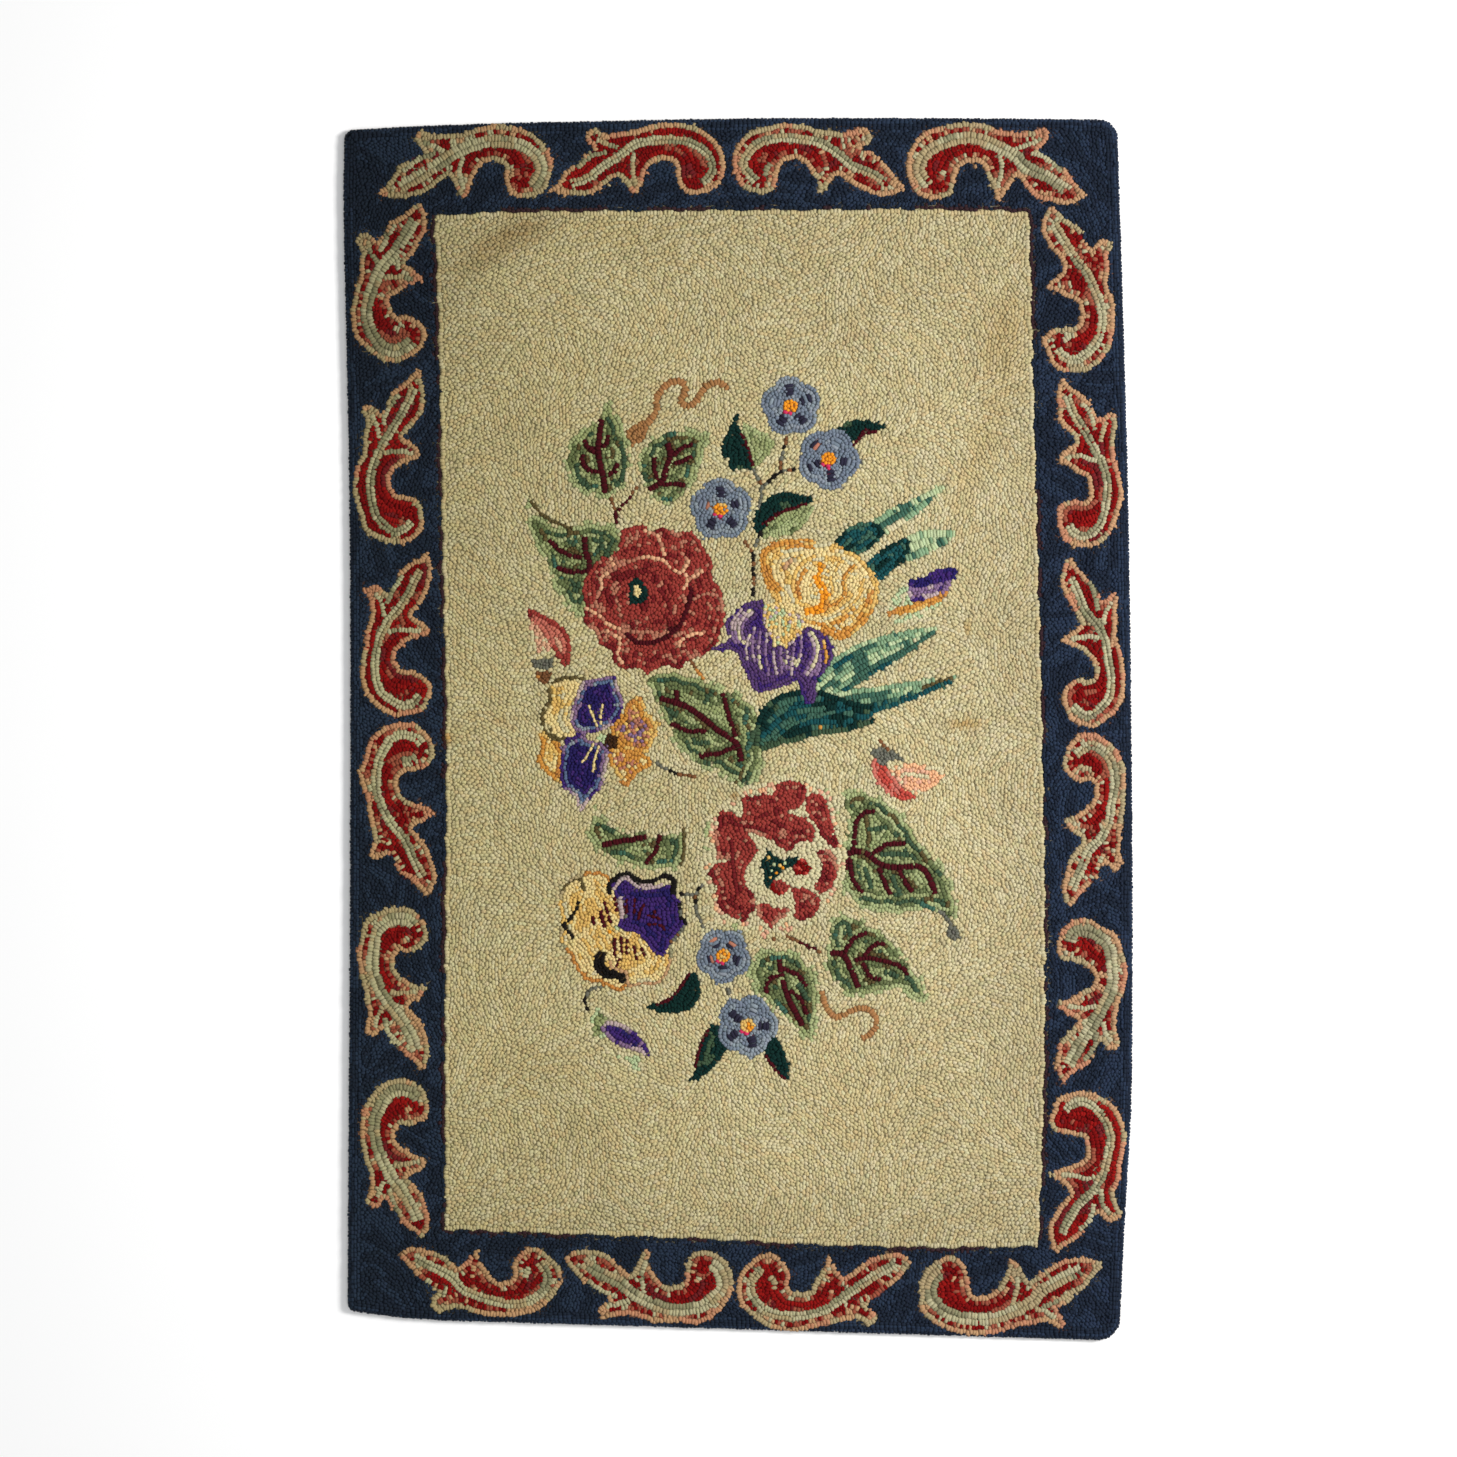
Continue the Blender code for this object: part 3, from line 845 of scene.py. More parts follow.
def pansy_one(design):
    """Pansy with two violet, two yellow and two golden petals."""
    petal(
        design,
        ((-163, 39), (-150, 42), (-138, 41), (-140, 32), (-147, 20), (-149, 8), (-140, -3), (-156, -8),
         (-165, 3), (-170, 12), (-163, 22), (-163, 31)),
        ("yellows", "pale yellows"),
    )
    petal(
        design,
        ((-173, -3), (-164, -6), (-157, -12), (-153, -22), (-155, -34), (-152, -48), (-160, -45), (-168, -38),
         (-175, -27), (-172, -15)),
        ("golds", "yellows"),
    )
    design.line(((-163, 40), (-149, 45), (-135, 43)), "olive")
    design.line(((-165, 36), (-165, 24), (-171, 15), (-169, 1), (-161, -9), (-150, -7)), "olive")
    petal(
        design,
        ((-104, 11), (-96, 23), (-89, 29), (-82, 24), (-79, 15), (-73, 8), (-70, -1), (-74, -10), (-79, -20),
         (-88, -20), (-100, -17), (-107, -9), (-112, 1)),
        ("golds", "golden specks", "plum specks"),
    )
    petal(
        design,
        ((-113, -18), (-100, -17), (-86, -20), (-75, -26), (-78, -34), (-87, -38), (-96, -50), (-102, -48),
         (-107, -38), (-112, -30)),
        ("golds", "speckled gold"),
    )
    petal(
        design,
        ((-138, -5), (-129, -10), (-119, -13), (-113, -20), (-115, -36), (-119, -51), (-128, -60),
         (-138, -73), (-143, -59), (-153, -51), (-156, -36), (-154, -20), (-150, -9)),
        ("lilacs", "blue lilacs", "deep violets"),
        3.2,
    )
    petal(
        design,
        ((-134, 42), (-121, 45), (-108, 46), (-103, 32), (-100, 20), (-105, 8), (-115, 0), (-125, -3),
         (-138, -4), (-147, 8), (-144, 22), (-139, 36)),
        ("lilacs", "blue lilacs", "deep violets"),
        3.2,
    )
    for points in PANSY_ONE_STREAKS:
        design.line(points, "pale yellow", width=2.3)
    design.patch(blob((-119, -8), 4.6, 4.6), ("mint",))
    design.patch(blob((-111, -10), 6.0, 6.0, 30, 4, 0.12), ("dark brown",), bar=3.4)


PANSY_TWO_BASE = (
    (-154, -139), (-148, -131), (-138, -126), (-126, -124), (-114, -127), (-104, -140), (-80, -160),
    (-60, -186), (-57, -198), (-61, -212), (-70, -222), (-84, -224), (-97, -226), (-106, -229),
    (-120, -222), (-132, -220), (-142, -208), (-147, -197), (-154, -190), (-156, -178), (-154, -165),
    (-157, -151),
)
PANSY_TWO_PURPLE = (
    (-111, -133), (-103, -129), (-94, -133), (-78, -136), (-61, -135), (-56, -145), (-51, -151), (-52, -164),
    (-46, -170), (-54, -179), (-60, -186), (-63, -197), (-73, -197), (-80, -187), (-89, -179), (-100, -176),
    (-105, -172), (-103, -164), (-105, -151), (-109, -143),
)
PANSY_TWO_STREAKS = (
    ((-127, -163), (-126, -171), 5.0), ((-120, -158), (-117, -174), 5.0), ((-117, -150), (-111, -170), 4.0),
    ((-108, -146), (-106, -160), 4.6), ((-108, -182), (-108, -198), 4.0), ((-102, -181), (-102, -197), 4.0),
    ((-97, -183), (-97, -198), 3.8), ((-91, -189), (-88, -201), 3.8), ((-85, -190), (-81, -199), 3.8),
    ((-103, -199), (-107, -208), 3.6),
)
PANSY_TWO_PLUMS = (
    ((-97, -148), (-98, -166)), ((-90, -147), (-91, -162)), ((-82, -152), (-88, -166)),
    ((-80, -162), (-68, -166)), ((-80, -170), (-66, -172)), ((-74, -158), (-64, -176)),
)


def pansy_two(design):
    """Pansy with a yellow lower half and a purple upper petal under a dark frill."""
    petal(design, PANSY_TWO_BASE, ("yellow edge", "pale yellows", "pale yellows", "yellows"), 3.2)
    petal(design, PANSY_TWO_PURPLE, ("violets", "violets", "violets"))
    for points in PANSY_TWO_PLUMS:
        design.line(points, "plums", width=2.6)
    frill = ((-112, -145), (-112, -135), (-104, -128), (-97, -126), (-89, -131), (-78, -133), (-67, -129))
    design.line(frill, "black", bar=4.0)
    design.line(((-67, -129), (-59, -129), (-56, -136), (-57, -145)), "black", bar=6.0)
    under_frill = ((-109, -141), (-104, -133), (-97, -131), (-89, -137), (-78, -139), (-65, -136))
    design.line(under_frill, "pale lilac", bar=3.4)
    design.line(((-103, -146), (-101, -166)), "pale lilac", bar=4.2)
    design.line(((-51, -152), (-50, -164), (-46, -169), (-53, -180), (-60, -187)), "stem", bar=3.6)
    for first, last, bar in PANSY_TWO_STREAKS:
        design.row((first, last), "maroon", rank=-1, width=0.7 * bar)
    design.line(((-138, -150), (-141, -157), (-147, -166), (-152, -171), (-148, -177), (-144, -183)), "black")
    design.line(((-154, -141), (-146, -133), (-138, -132), (-134, -142)), "olive", width=2.6)
    boot = ((-118, -194), (-121, -201), (-120, -209), (-114, -214), (-104, -216), (-100, -223))
    design.stroke(boot, (3.0, 4.4, 5.0, 4.0, 3.0, 2.0), ("black",), 3.4)
    design.line(((-112, -202), (-110, -208), (-98, -213), (-96, -223)), "tan")
    design.line(((-96, -225), (-84, -222), (-70, -221), (-61, -209), (-59, -200)), "tan", width=2.6)
    design.row(((-113, -174), (-111, -180)), "orange", rank=-1)
    design.row(((-108, -172), (-104, -176)), "mint", rank=-1)


IRIS_FALL = (
    (-10, 95), (3, 108), (12, 112), (21, 113), (26, 104), (38, 94), (53, 85), (62, 89), (74, 84), (82, 73),
    (82, 60), (75, 49), (69, 41), (68, 26), (61, 21), (55, 30), (52, 41), (40, 37), (29, 34), (16, 32),
    (9, 43), (3, 58), (-3, 68), (-16, 68), (-27, 69), (-14, 75), (-7, 80), (-12, 88),
)
IRIS_HEAD = (
    (19, 146), (25, 159), (40, 166), (54, 166), (68, 163), (87, 161), (104, 151), (117, 140), (123, 125),
    (121, 107), (108, 91), (91, 78), (78, 84), (61, 89), (38, 97), (31, 114), (23, 127),
)
# Rows over the iris: the yarn, how wide the row is, and its points
IRIS_ROWS = (
    ("pale lilacs", 2.8, ((11, 84), (7, 72), (8, 60))),
    ("pale lilacs", 5.6, ((12, 104), (4, 94), (2, 84), (6, 74))),
    ("lilacs", 5.6, ((5, 104), (-3, 94), (-4, 84), (0, 74))),
    ("lilacs", 2.8, ((15, 90), (12, 74), (14, 58))),
    ("pale lilacs", 2.8, ((20, 86), (18, 70), (20, 52))),
    ("lilacs", 2.8, ((25, 84), (24, 66), (27, 46))),
    ("pale lilacs", 2.8, ((31, 78), (31, 62), (34, 47))),
    ("lilacs", 2.8, ((37, 76), (37, 62), (38, 48))),
    ("pale lilacs", 2.8, ((43, 78), (43, 64), (42, 52))),
    ("lilacs", 2.8, ((49, 76), (48, 62), (46, 46))),
    ("pale lilacs", 2.8, ((55, 82), (55, 68), (51, 54))),
    ("pale lilacs", 6.4, ((62, 85), (68, 74), (66, 60), (58, 47))),
    ("golds", 3.0, ((74, 78), (77, 66), (76, 57))),
    ("lilacs", 6.4, ((70, 66), (70, 54), (64, 44))),
    ("golds", 8.0, ((36, 120), (25, 135), (24, 153), (40, 161), (66, 162))),
    ("pale yellows", 7.0, ((38, 123), (33, 138), (38, 151), (57, 156), (83, 160))),
    ("beiges", 4.0, ((40, 139), (44, 146), (52, 147))),
    ("pale yellows", 7.0, ((50, 110), (46, 127), (53, 144), (66, 152), (83, 154), (100, 150), (114, 136))),
    ("golds", 3.4, ((54, 112), (53, 128), (60, 141))),
    ("pale yellows", 6.0, ((60, 112), (60, 128), (67, 142))),
    ("oranges", 7.0, ((74, 145), (68, 133), (74, 122), (74, 106), (58, 102))),
    ("yellows", 5.4, ((87, 146), (82, 134), (84, 121), (80, 112))),
    ("golds", 4.4, ((103, 143), (93, 131), (93, 118), (81, 109), (70, 101))),
    ("golds", 9.0, ((118, 122), (113, 103), (100, 88), (89, 82), (77, 88))),
    ("pale yellows", 7.4, ((113, 131), (104, 114), (89, 101), (74, 95))),
    ("golds", 3.6, ((115, 124), (100, 104), (86, 93), (64, 92))),
    ("yellows", 6.0, ((106, 134), (98, 118), (86, 107), (72, 99))),
)
IRIS_THROAT = (
    (22, 106), (30, 110), (42, 102), (56, 98), (58, 88), (52, 80), (44, 72), (34, 74), (26, 84), (22, 92),
)


def iris(design):
    """Violet falls under a head of yellow folds with an orange heart."""
    petal(design, IRIS_FALL, ("soft violets",), 3.2)
    petal(design, IRIS_HEAD, ("golden edge", "yellows", "pale yellows"), 3.2)
    for mix, wide, points in IRIS_ROWS:
        design.band(points, mix, wide)
    petal(design, IRIS_THROAT, ("pale throat",), 3.2)
    for ax, ay, bx, by in (
        (27, 103, 24, 88), (41, 98, 42, 70), (32, 88, 32, 72), (47, 92, 46, 78), (36, 100, 36, 84),
    ):
        design.band(((ax, ay), (bx, by)), "yellows", 2.8)


def blades(design):
    """Long leaves right of the iris: dark teal at the base, pale green and mint towards the tips."""
    broad = (
        ("seafoams", "seafoams", 0.5), ("sea teals", "seafoams", 0.62), ("seafoams", "seafoams", 0.4),
        ("sea teals", "seafoams", 0.50), ("seafoams", "pale mints", 0.6), ("sea teals", "seafoams", 0.66),
        ("teals", "teals", 0.5),
    )
    stripes(design, ((60, 22), (84, 43), (110, 60), (141, 74), (174, 88)), (11, 15, 15, 10, 0.5), broad)
    low = (
        ("seafoams", "seafoams", 0.5), ("sea teals", "seafoams", 0.55), ("sea teals", "seafoams", 0.62),
        ("teals", "teals", 0.5), ("dark teals", "teals", 0.5),
    )
    stripes(design, ((70, 14), (96, 22), (122, 26), (150, 33), (190, 45)), (10, 12, 10, 6, 0.5), low)
    design.line(((160, 35), (172, 41), (188, 45)), "olive")
    base = (
        ("dark greens", "dark greens", 0.5), ("dark greens", "teals", 0.3), ("teals", "dark greens", 0.5),
        ("dark teals", "teals", 0.4), ("teals", "dark teals", 0.6), ("teals", "teals", 0.4),
        ("dark greens", "dark teals", 0.5), ("dark greens", "dark greens", 0.5),
    )
    stripes(design, ((18, -16), (38, 6), (62, 14), (88, 12), (118, 12)), (3, 21, 21, 15, 6), base)
    design.line(((30, -10), (48, 4), (72, 12), (100, 18)), "teals", bar=3.4)
    design.line(((44, 18), (60, 20), (84, 24)), "teals", bar=3.4)
    for x, y in ((51, 7), (72, 1)):
        design.row(((x - 1.8, y), (x + 1.8, y)), "gold", rank=-1, width=3.4, length=3.6)
    edge = (("seafoams", "seafoams", 0.5), ("seafoams", "flank", 0.6), ("pale mints", "seafoams", 0.5))
    stripes(design, ((108, 164), (130, 180), (152, 193), (178, 210)), (6, 9, 6, 0.5), edge)
    petal(
        design,
        ((84, 162), (96, 176), (112, 181), (124, 178), (126, 168), (110, 154), (94, 151)),
        ("dark teals", "teals"),
    )
    edge = (("seafoams", "seafoams", 0.5), ("pale mints", "seafoams", 0.5), ("seafoams", "seafoams", 0.5))
    stripes(design, ((132, 150), (160, 162), (190, 170)), (9, 11, 0.5), edge)
    petal(
        design,
        ((112, 144), (122, 154), (137, 164), (150, 166), (149, 154), (139, 142), (123, 129), (114, 131)),
        ("dark teals", "teals"),
    )


def buds(design):
    petal(design, ((-182, 94), (-174, 94), (-166, 84), (-164, 70), (-172, 64), (-180, 72)), ("pale pinks",))
    design.stroke(((-184, 103), (-170, 93), (-156, 78), (-150, 56)), (3, 6, 9, 8, 3), ("roses", "pinks"))
    design.stroke(((-180, 98), (-168, 88), (-161, 72)), (2.5, 4.5, 4, 2), ("pinks",))
    petal(design, ((-182, 59), (-173, 61), (-161, 61), (-163, 52), (-171, 52), (-178, 54)), ("grey",))
    petal(design, ((-177, 50), (-163, 50), (-164, 42), (-170, 38), (-175, 43)), ("brown stem",))
    petal(
        design,
        ((134, -34), (150, -30), (164, -32), (180, -34), (176, -46), (164, -54), (148, -58), (136, -48)),
        ("pale peaches", "peaches"),
    )
    petal(
        design,
        ((118, -22), (124, -26), (130, -34), (138, -44), (144, -52), (154, -58), (148, -63), (136, -60),
         (124, -50), (117, -38)),
        ("corals",),
    )
    petal(
        design,
        ((116, -20), (126, -16), (137, -20), (146, -29), (134, -27), (124, -33), (120, -26)),
        ("grey",),
    )
    design.line(((122, -9), (126, -13), (132, -20)), "brown stem")
    petal(
        design,
        ((-124, -244), (-112, -248), (-108, -258), (-116, -268), (-128, -274), (-131, -262)),
        ("pale mints", "halo"),
    )
    petal(
        design,
        ((-106, -282), (-90, -284), (-82, -294), (-84, -300), (-94, -296), (-104, -290)),
        ("pale mints",),
    )
    bud = ((-119, -258), (-104, -266), (-88, -276), (-77, -284))
    design.stroke(bud, (4, 9, 9, 6, 2), ("lilacs", "violets"))
    design.line(((-131, -246), (-134, -237), (-129, -228), (-118, -225)), "stem")
    petal(design, ((126, 103), (140, 120), (150, 124), (154, 112), (150, 106), (140, 104)), ("pale mints",))
    petal(design, ((128, 94), (146, 98), (166, 108), (178, 110), (164, 98), (146, 92)), ("pale mints",))
    petal(
        design,
        ((129, 100), (140, 107), (156, 110), (170, 116), (184, 122), (178, 112), (160, 104), (140, 99)),
        ("golds",),
    )
    petal(
        design,
        ((148, 124), (160, 124), (176, 128), (186, 132), (182, 120), (170, 115), (156, 111), (150, 114)),
        ("lilacs",),
    )
    petal(
        design,
        ((148, 130), (160, 132), (170, 138), (182, 141), (191, 140), (188, 130), (172, 127), (158, 123),
         (150, 124)),
        ("violets",),
    )


def bouquet(design):
    tendrils(design)
    leaves(design)
    stems(design)
    split_leaves(design)
    rose_one(design)
    pansy_one(design)
    pansy_two(design)
    rose_two(design)
    blue_flowers(design)
    blades(design)
    iris(design)
    buds(design)


# Corners and points along the sides of the cream field
FIELD = (
    (-265, 448), (-226, 451), (-156, 452), (2, 453), (142, 454), (254, 452), (256, 384), (259, 262),
    (262, 148), (265, 25), (268, -115), (268, -272), (265, -395), (262, -452), (186, -453), (80, -451),
    (-33, -445), (-147, -441), (-256, -437), (-256, -342), (-256, -202), (-255, -62), (-255, 25),
    (-258, 148), (-260, 270), (-262, 358),
)
EDGE_ROWS = 4
PATCH = 27.0
PATCH_SHIFT = 10.0
ROW_WAVE = 1.4
ROW_WAVE_LENGTH = 9.0


def field_outline():
    """Outline of the field, with small waves where loops of two colours meet."""
    line = closed_line(np.array(FIELD, float))
    run = run_along(line)
    places = np.arange(0, run[-1], 2.0)
    x = np.interp(places, run, line[:, 0])
    y = np.interp(places, run, line[:, 1])
    points = np.stack([x, y], axis=1)
    wave = 0.6 * np.sin(places / 2.9) + 0.6 * np.sin(places / 7.7 + 1)
    return points + outward(points) * wave[:, None]


def row_direction(x, y):
    """Direction in which the cream rows run, in radians. It turns smoothly over the field."""
    turn = 1.3 * np.sin(x / 74.0 + 1.1 * np.sin(y / 91.0))
    turn += 1.1 * np.sin(y / 62.0 + x / 140.0 + 0.8)
    return turn + 0.6 * np.sin((x - y) / 47.0)


def patch_rows(design, area, mix, length, width, rank):
    """Loops in small patches of rows over an area, each patch turned a little from the next."""
    low = area.min(axis=0) - PATCH
    high = area.max(axis=0) + PATCH
    gx, gy = np.meshgrid(np.arange(low[0], high[0], PATCH), np.arange(low[1], high[1], PATCH))
    centres = np.stack([gx.ravel(), gy.ravel()], axis=1)
    centres += rng.uniform(-PATCH_SHIFT, PATCH_SHIFT, centres.shape)
    turns = row_direction(centres[:, 0], centres[:, 1]) + rng.normal(0, 0.25, len(centres))
    reach = 1.2 * PATCH
    columns = np.arange(-reach, reach, length)
    lines = np.arange(-reach, reach, width)
    places = []
    for index, (centre, turn) in enumerate(zip(centres, turns)):
        a, b = np.meshgrid(columns, lines)
        a = a + (np.arange(len(lines)) % 2)[:, None] * length / 2 + rng.normal(0, 0.35, a.shape)
        b = b + ROW_WAVE * np.sin(a / ROW_WAVE_LENGTH + index) + rng.normal(0, 0.18, b.shape)
        x = centre[0] + a * math.cos(turn) - b * math.sin(turn)
        y = centre[1] + a * math.sin(turn) + b * math.cos(turn)
        near = np.argsort(np.hypot(*(centres - centre).T))[:12]
        distance = np.hypot(x[..., None] - centres[near, 0], y[..., None] - centres[near, 1])
        mine = distance.argmin(axis=-1) == 0
        slope = turn + np.arctan(ROW_WAVE / ROW_WAVE_LENGTH * np.cos(a / ROW_WAVE_LENGTH + index))
        places.append(np.stack([x[mine], y[mine], slope[mine]], axis=1))
    x, y, turn = np.vstack(places).T
    keep = inside(area, x, y)
    turn = turn[keep] + rng.normal(0, 0.2, int(keep.sum()))
    design.loops(x[keep], y[keep], turn, length, width, mix, rank)


def border(design, edge):
    """Dark rows that follow the rug's edge and patches inside them, with the scrolls over them."""
    design.cover(Shape(edge))
    out = outward(edge)
    design.row(closed_line(edge - out * 1.4), "ground", rank=0, width=3.0, length=3.7)
    for k in range(1, EDGE_ROWS):
        depth = 1.4 + GROUND_PITCH * k
        line = closed_line(edge - out * depth)
        design.row(line, "ground", rank=2, width=GROUND_PITCH, length=GROUND_LENGTH)
    inner = edge - out * (GROUND_PITCH * EDGE_ROWS)
    patch_rows(design, inner, "ground", GROUND_LENGTH, GROUND_PITCH, 2)
    for row in SCROLLS:
        scroll(design, *row)


def whole_design(edge):
    """Every row of the rug, from the ground up to the last petal."""
    design = Design()
    border(design, edge)
    field = field_outline()
    design.row(closed_line(field + outward(field) * 1.5), "edge line", rank=0)
    design.cover(Shape(field))
    design.row(closed_line(field - outward(field) * 2.3), "field", bar=BAR_LENGTH, rank=0)
    patch_rows(design, field, "field", LOOP_LENGTH, LOOP_WIDTH, 3)
    bouquet(design)
    return design


# Placing
class LoopMap:
    """Flat map of small cells. Each holds the number of its loop, or -1, and what was drawn there last."""

    def __init__(self, design, edge):
        self.low = edge.min(axis=0) - 6.0
        size = edge.max(axis=0) + 6.0 - self.low
        self.shape = (int(size[0] / CELL) + 1, int(size[1] / CELL) + 1)
        self.taken = np.full(self.shape, -1)
        self.level = np.zeros(self.shape, int)
        self.footprints = {}
        self.paint(edge, 1)
        beside_rug = self.level == 0
        for level, outline in enumerate(design.covers, start=1):
            self.paint(outline, level)
        self.level[beside_rug] = 0

    def paint(self, outline, level):
        """Marks the cells inside an outline, one column of cells at a time."""
        xs = self.low[0] + (np.arange(self.shape[0]) + 0.5) * CELL
        ax, ay = outline.T
        bx, by = np.roll(outline, -1, axis=0).T
        first = max(int((ax.min() - self.low[0]) / CELL), 0)
        last = min(int((ax.max() - self.low[0]) / CELL) + 1, self.shape[0])
        for i in range(first, last):
            hit = (ax > xs[i]) != (bx > xs[i])
            if hit.any():
                y = ay[hit] + (xs[i] - ax[hit]) * (by[hit] - ay[hit]) / (bx[hit] - ax[hit])
                stops = np.clip(((np.sort(y) - self.low[1]) / CELL + 0.5).astype(int), 0, self.shape[1])
                for start, stop in zip(stops[::2], stops[1::2]):
                    self.level[i, start:stop] = level

    def widen(self):
        """Empty cells take the number of a loop next to them."""
        for _ in range(8):
            for axis in (0, 1):
                for step in (-1, 1):
                    moved = np.roll(self.taken, step, axis=axis)
                    self.taken = np.where(self.taken < 0, moved, self.taken)

    def cells(self, x, y):
        i = np.clip(((x - self.low[0]) / CELL).astype(int), 0, self.shape[0] - 1)
        j = np.clip(((y - self.low[1]) / CELL).astype(int), 0, self.shape[1] - 1)
        return i, j

    def footprint(self, turn, length, width):
        """Cell offsets that a loop covers."""
        key = (int(round(turn / math.pi * 24)) % 24, int(round(length / CELL)), int(round(width / CELL)))
        if key not in self.footprints:
            angle = key[0] * math.pi / 24
            reach = key[1] + 1
            gx, gy = np.meshgrid(np.arange(-reach, reach + 1), np.arange(-reach, reach + 1), indexing="ij")
            u = gx * math.cos(angle) + gy * math.sin(angle)
            v = -gx * math.sin(angle) + gy * math.cos(angle)
            inner = (np.abs(u) / (0.5 * key[1])) ** 2.6 + (np.abs(v) / (0.5 * key[2])) ** 2.6 < 1
            ii, jj = np.nonzero(inner)
            self.footprints[key] = (ii - reach, jj - reach)
        return self.footprints[key]

    def claim(self, i, j, turn, length, width, number):
        """Gives the free cells under a loop to it, unless too many of them are taken."""
        di, dj = self.footprint(turn, length, width)
        ii = i + di
        jj = j + dj
        if ii.min() < 0 or jj.min() < 0 or ii.max() >= self.shape[0] or jj.max() >= self.shape[1]:
            return False
        free = self.taken[ii, jj] < 0
        if free.sum() < (1 - OVERLAP) * len(free):
            return False
        self.taken[ii[free], jj[free]] = number
        return True


def place_loops(design, loop_map):
    """Loops that find room, those of a low rank first."""
    loops = np.vstack(design.rows)
    i, j = loop_map.cells(loops[:, X], loops[:, Y])
    level = loop_map.level[i, j]
    loops = loops[(level > 0) & (loops[:, LEVEL] >= level)]
    loops = loops[np.lexsort((-loops[:, LEVEL], loops[:, RANK]))]
    i, j = loop_map.cells(loops[:, X], loops[:, Y])
    placed = []
    for number in range(len(loops)):
        turn, length, width = loops[number, TURN : WIDTH + 1]
        if loop_map.claim(i[number], j[number], turn, length, width, number):
            placed.append(number)
    fillers = fill_gaps(loops, loop_map)
    number_of = np.full(len(loops), -1)
    number_of[placed] = np.arange(len(placed))
    taken = loop_map.taken
    old = (taken >= 0) & (taken < len(loops))
    new = taken >= len(loops)
    taken[new] += len(placed) - len(loops)
    taken[old] = number_of[taken[old]]
    return np.vstack([loops[placed], fillers])


def fill_gaps(loops, loop_map):
    """Short loops in the gaps that are left, like a neighbour of the same shape."""
    taken = loop_map.taken
    margin = 6
    open_cells = (taken < 0) & (loop_map.level > 0)
    free = np.argwhere(open_cells[margin:-margin:2, margin:-margin:2]) * 2 + margin
    rng.shuffle(free)
    fillers = []
    for i, j in free:
        if taken[i, j] >= 0 or len(fillers) >= FILLER_LIMIT:
            continue
        near = taken[i - 4 : i + 5, j - 4 : j + 5]
        levels = loop_map.level[i - 4 : i + 5, j - 4 : j + 5]
        alike = near[(near >= 0) & (near < len(loops)) & (levels == loop_map.level[i, j])]
        if len(alike) == 0:
            continue
        rings = alike[loops[alike, RANK] >= 0]
        alike = rings if len(rings) else alike
        model = loops[alike[rng.integers(len(alike))]].copy()
        for share in (0.85, 0.68):
            length = 0.85 * share * model[LENGTH]
            width = share * model[WIDTH]
            if loop_map.claim(i, j, model[TURN], length, width, len(loops) + len(fillers)):
                model[LENGTH] = length
                model[WIDTH] = width
                model[X] = loop_map.low[0] + (i + 0.5) * CELL
                model[Y] = loop_map.low[1] + (j + 0.5) * CELL
                fillers.append(model)
                break
    return np.array(fillers)


# Patches of soil and of painted light: warm patches of soil, grey patches that darken it near the right and
# lower edges, painted shade on the upper-left corner and painted light on two brighter patches. Columns:
# centre, half sizes, turn in degrees, what the colour is multiplied by
SOIL_AND_PAINTED_LIGHT = (
    # Painted shade: the upper-left corner darker.
    ((-330, 440), 150, 250, 0, (0.81, 0.81, 0.81)),
    ((240, -380), 120, 150, 0, (0.96, 0.96, 0.955)),
    ((248, 0), 32, 600, 0, (0.95, 0.95, 0.95)),
    ((230, 420), 120, 130, 0, (0.95, 0.95, 0.94)),
    ((0, -446), 400, 36, 0, (0.94, 0.94, 0.94)),
    # Painted light: two brighter patches in the field.
    ((130, 60), 110, 180, 0, (1.05, 1.06, 1.08)),
    ((60, -260), 170, 110, 0, (1.04, 1.04, 1.05)),
    ((-208, 422), 42, 13, 27, (0.80, 0.73, 0.66)),
    ((-190, 436), 30, 9, 10, (0.90, 0.85, 0.80)),
    ((232, 342), 22, 40, -8, (0.94, 0.86, 0.76)),
    ((214, 250), 14, 60, -20, (0.97, 0.92, 0.85)),
    ((200, 89), 3, 7, 0, (0.82, 0.66, 0.46)),
    ((-256, -8), 5, 5, 0, (0.92, 0.62, 0.34)),
    ((200, 4), 15, 5, 0, (0.84, 0.70, 0.52)),
    ((-200, 8), 26, 1.6, 0, (0.84, 0.76, 0.66)),
    ((-3, -59), 4, 4, 0, (0.66, 0.50, 0.38)),
    ((-100, 430), 60, 18, 0, (0.96, 0.94, 0.90)),
    ((-150, 300), 90, 70, 20, (0.96, 0.95, 0.93)),
    ((120, -330), 60, 40, 30, (0.97, 0.95, 0.92)),
    ((-160, -330), 70, 50, -20, (0.97, 0.96, 0.93)),
)


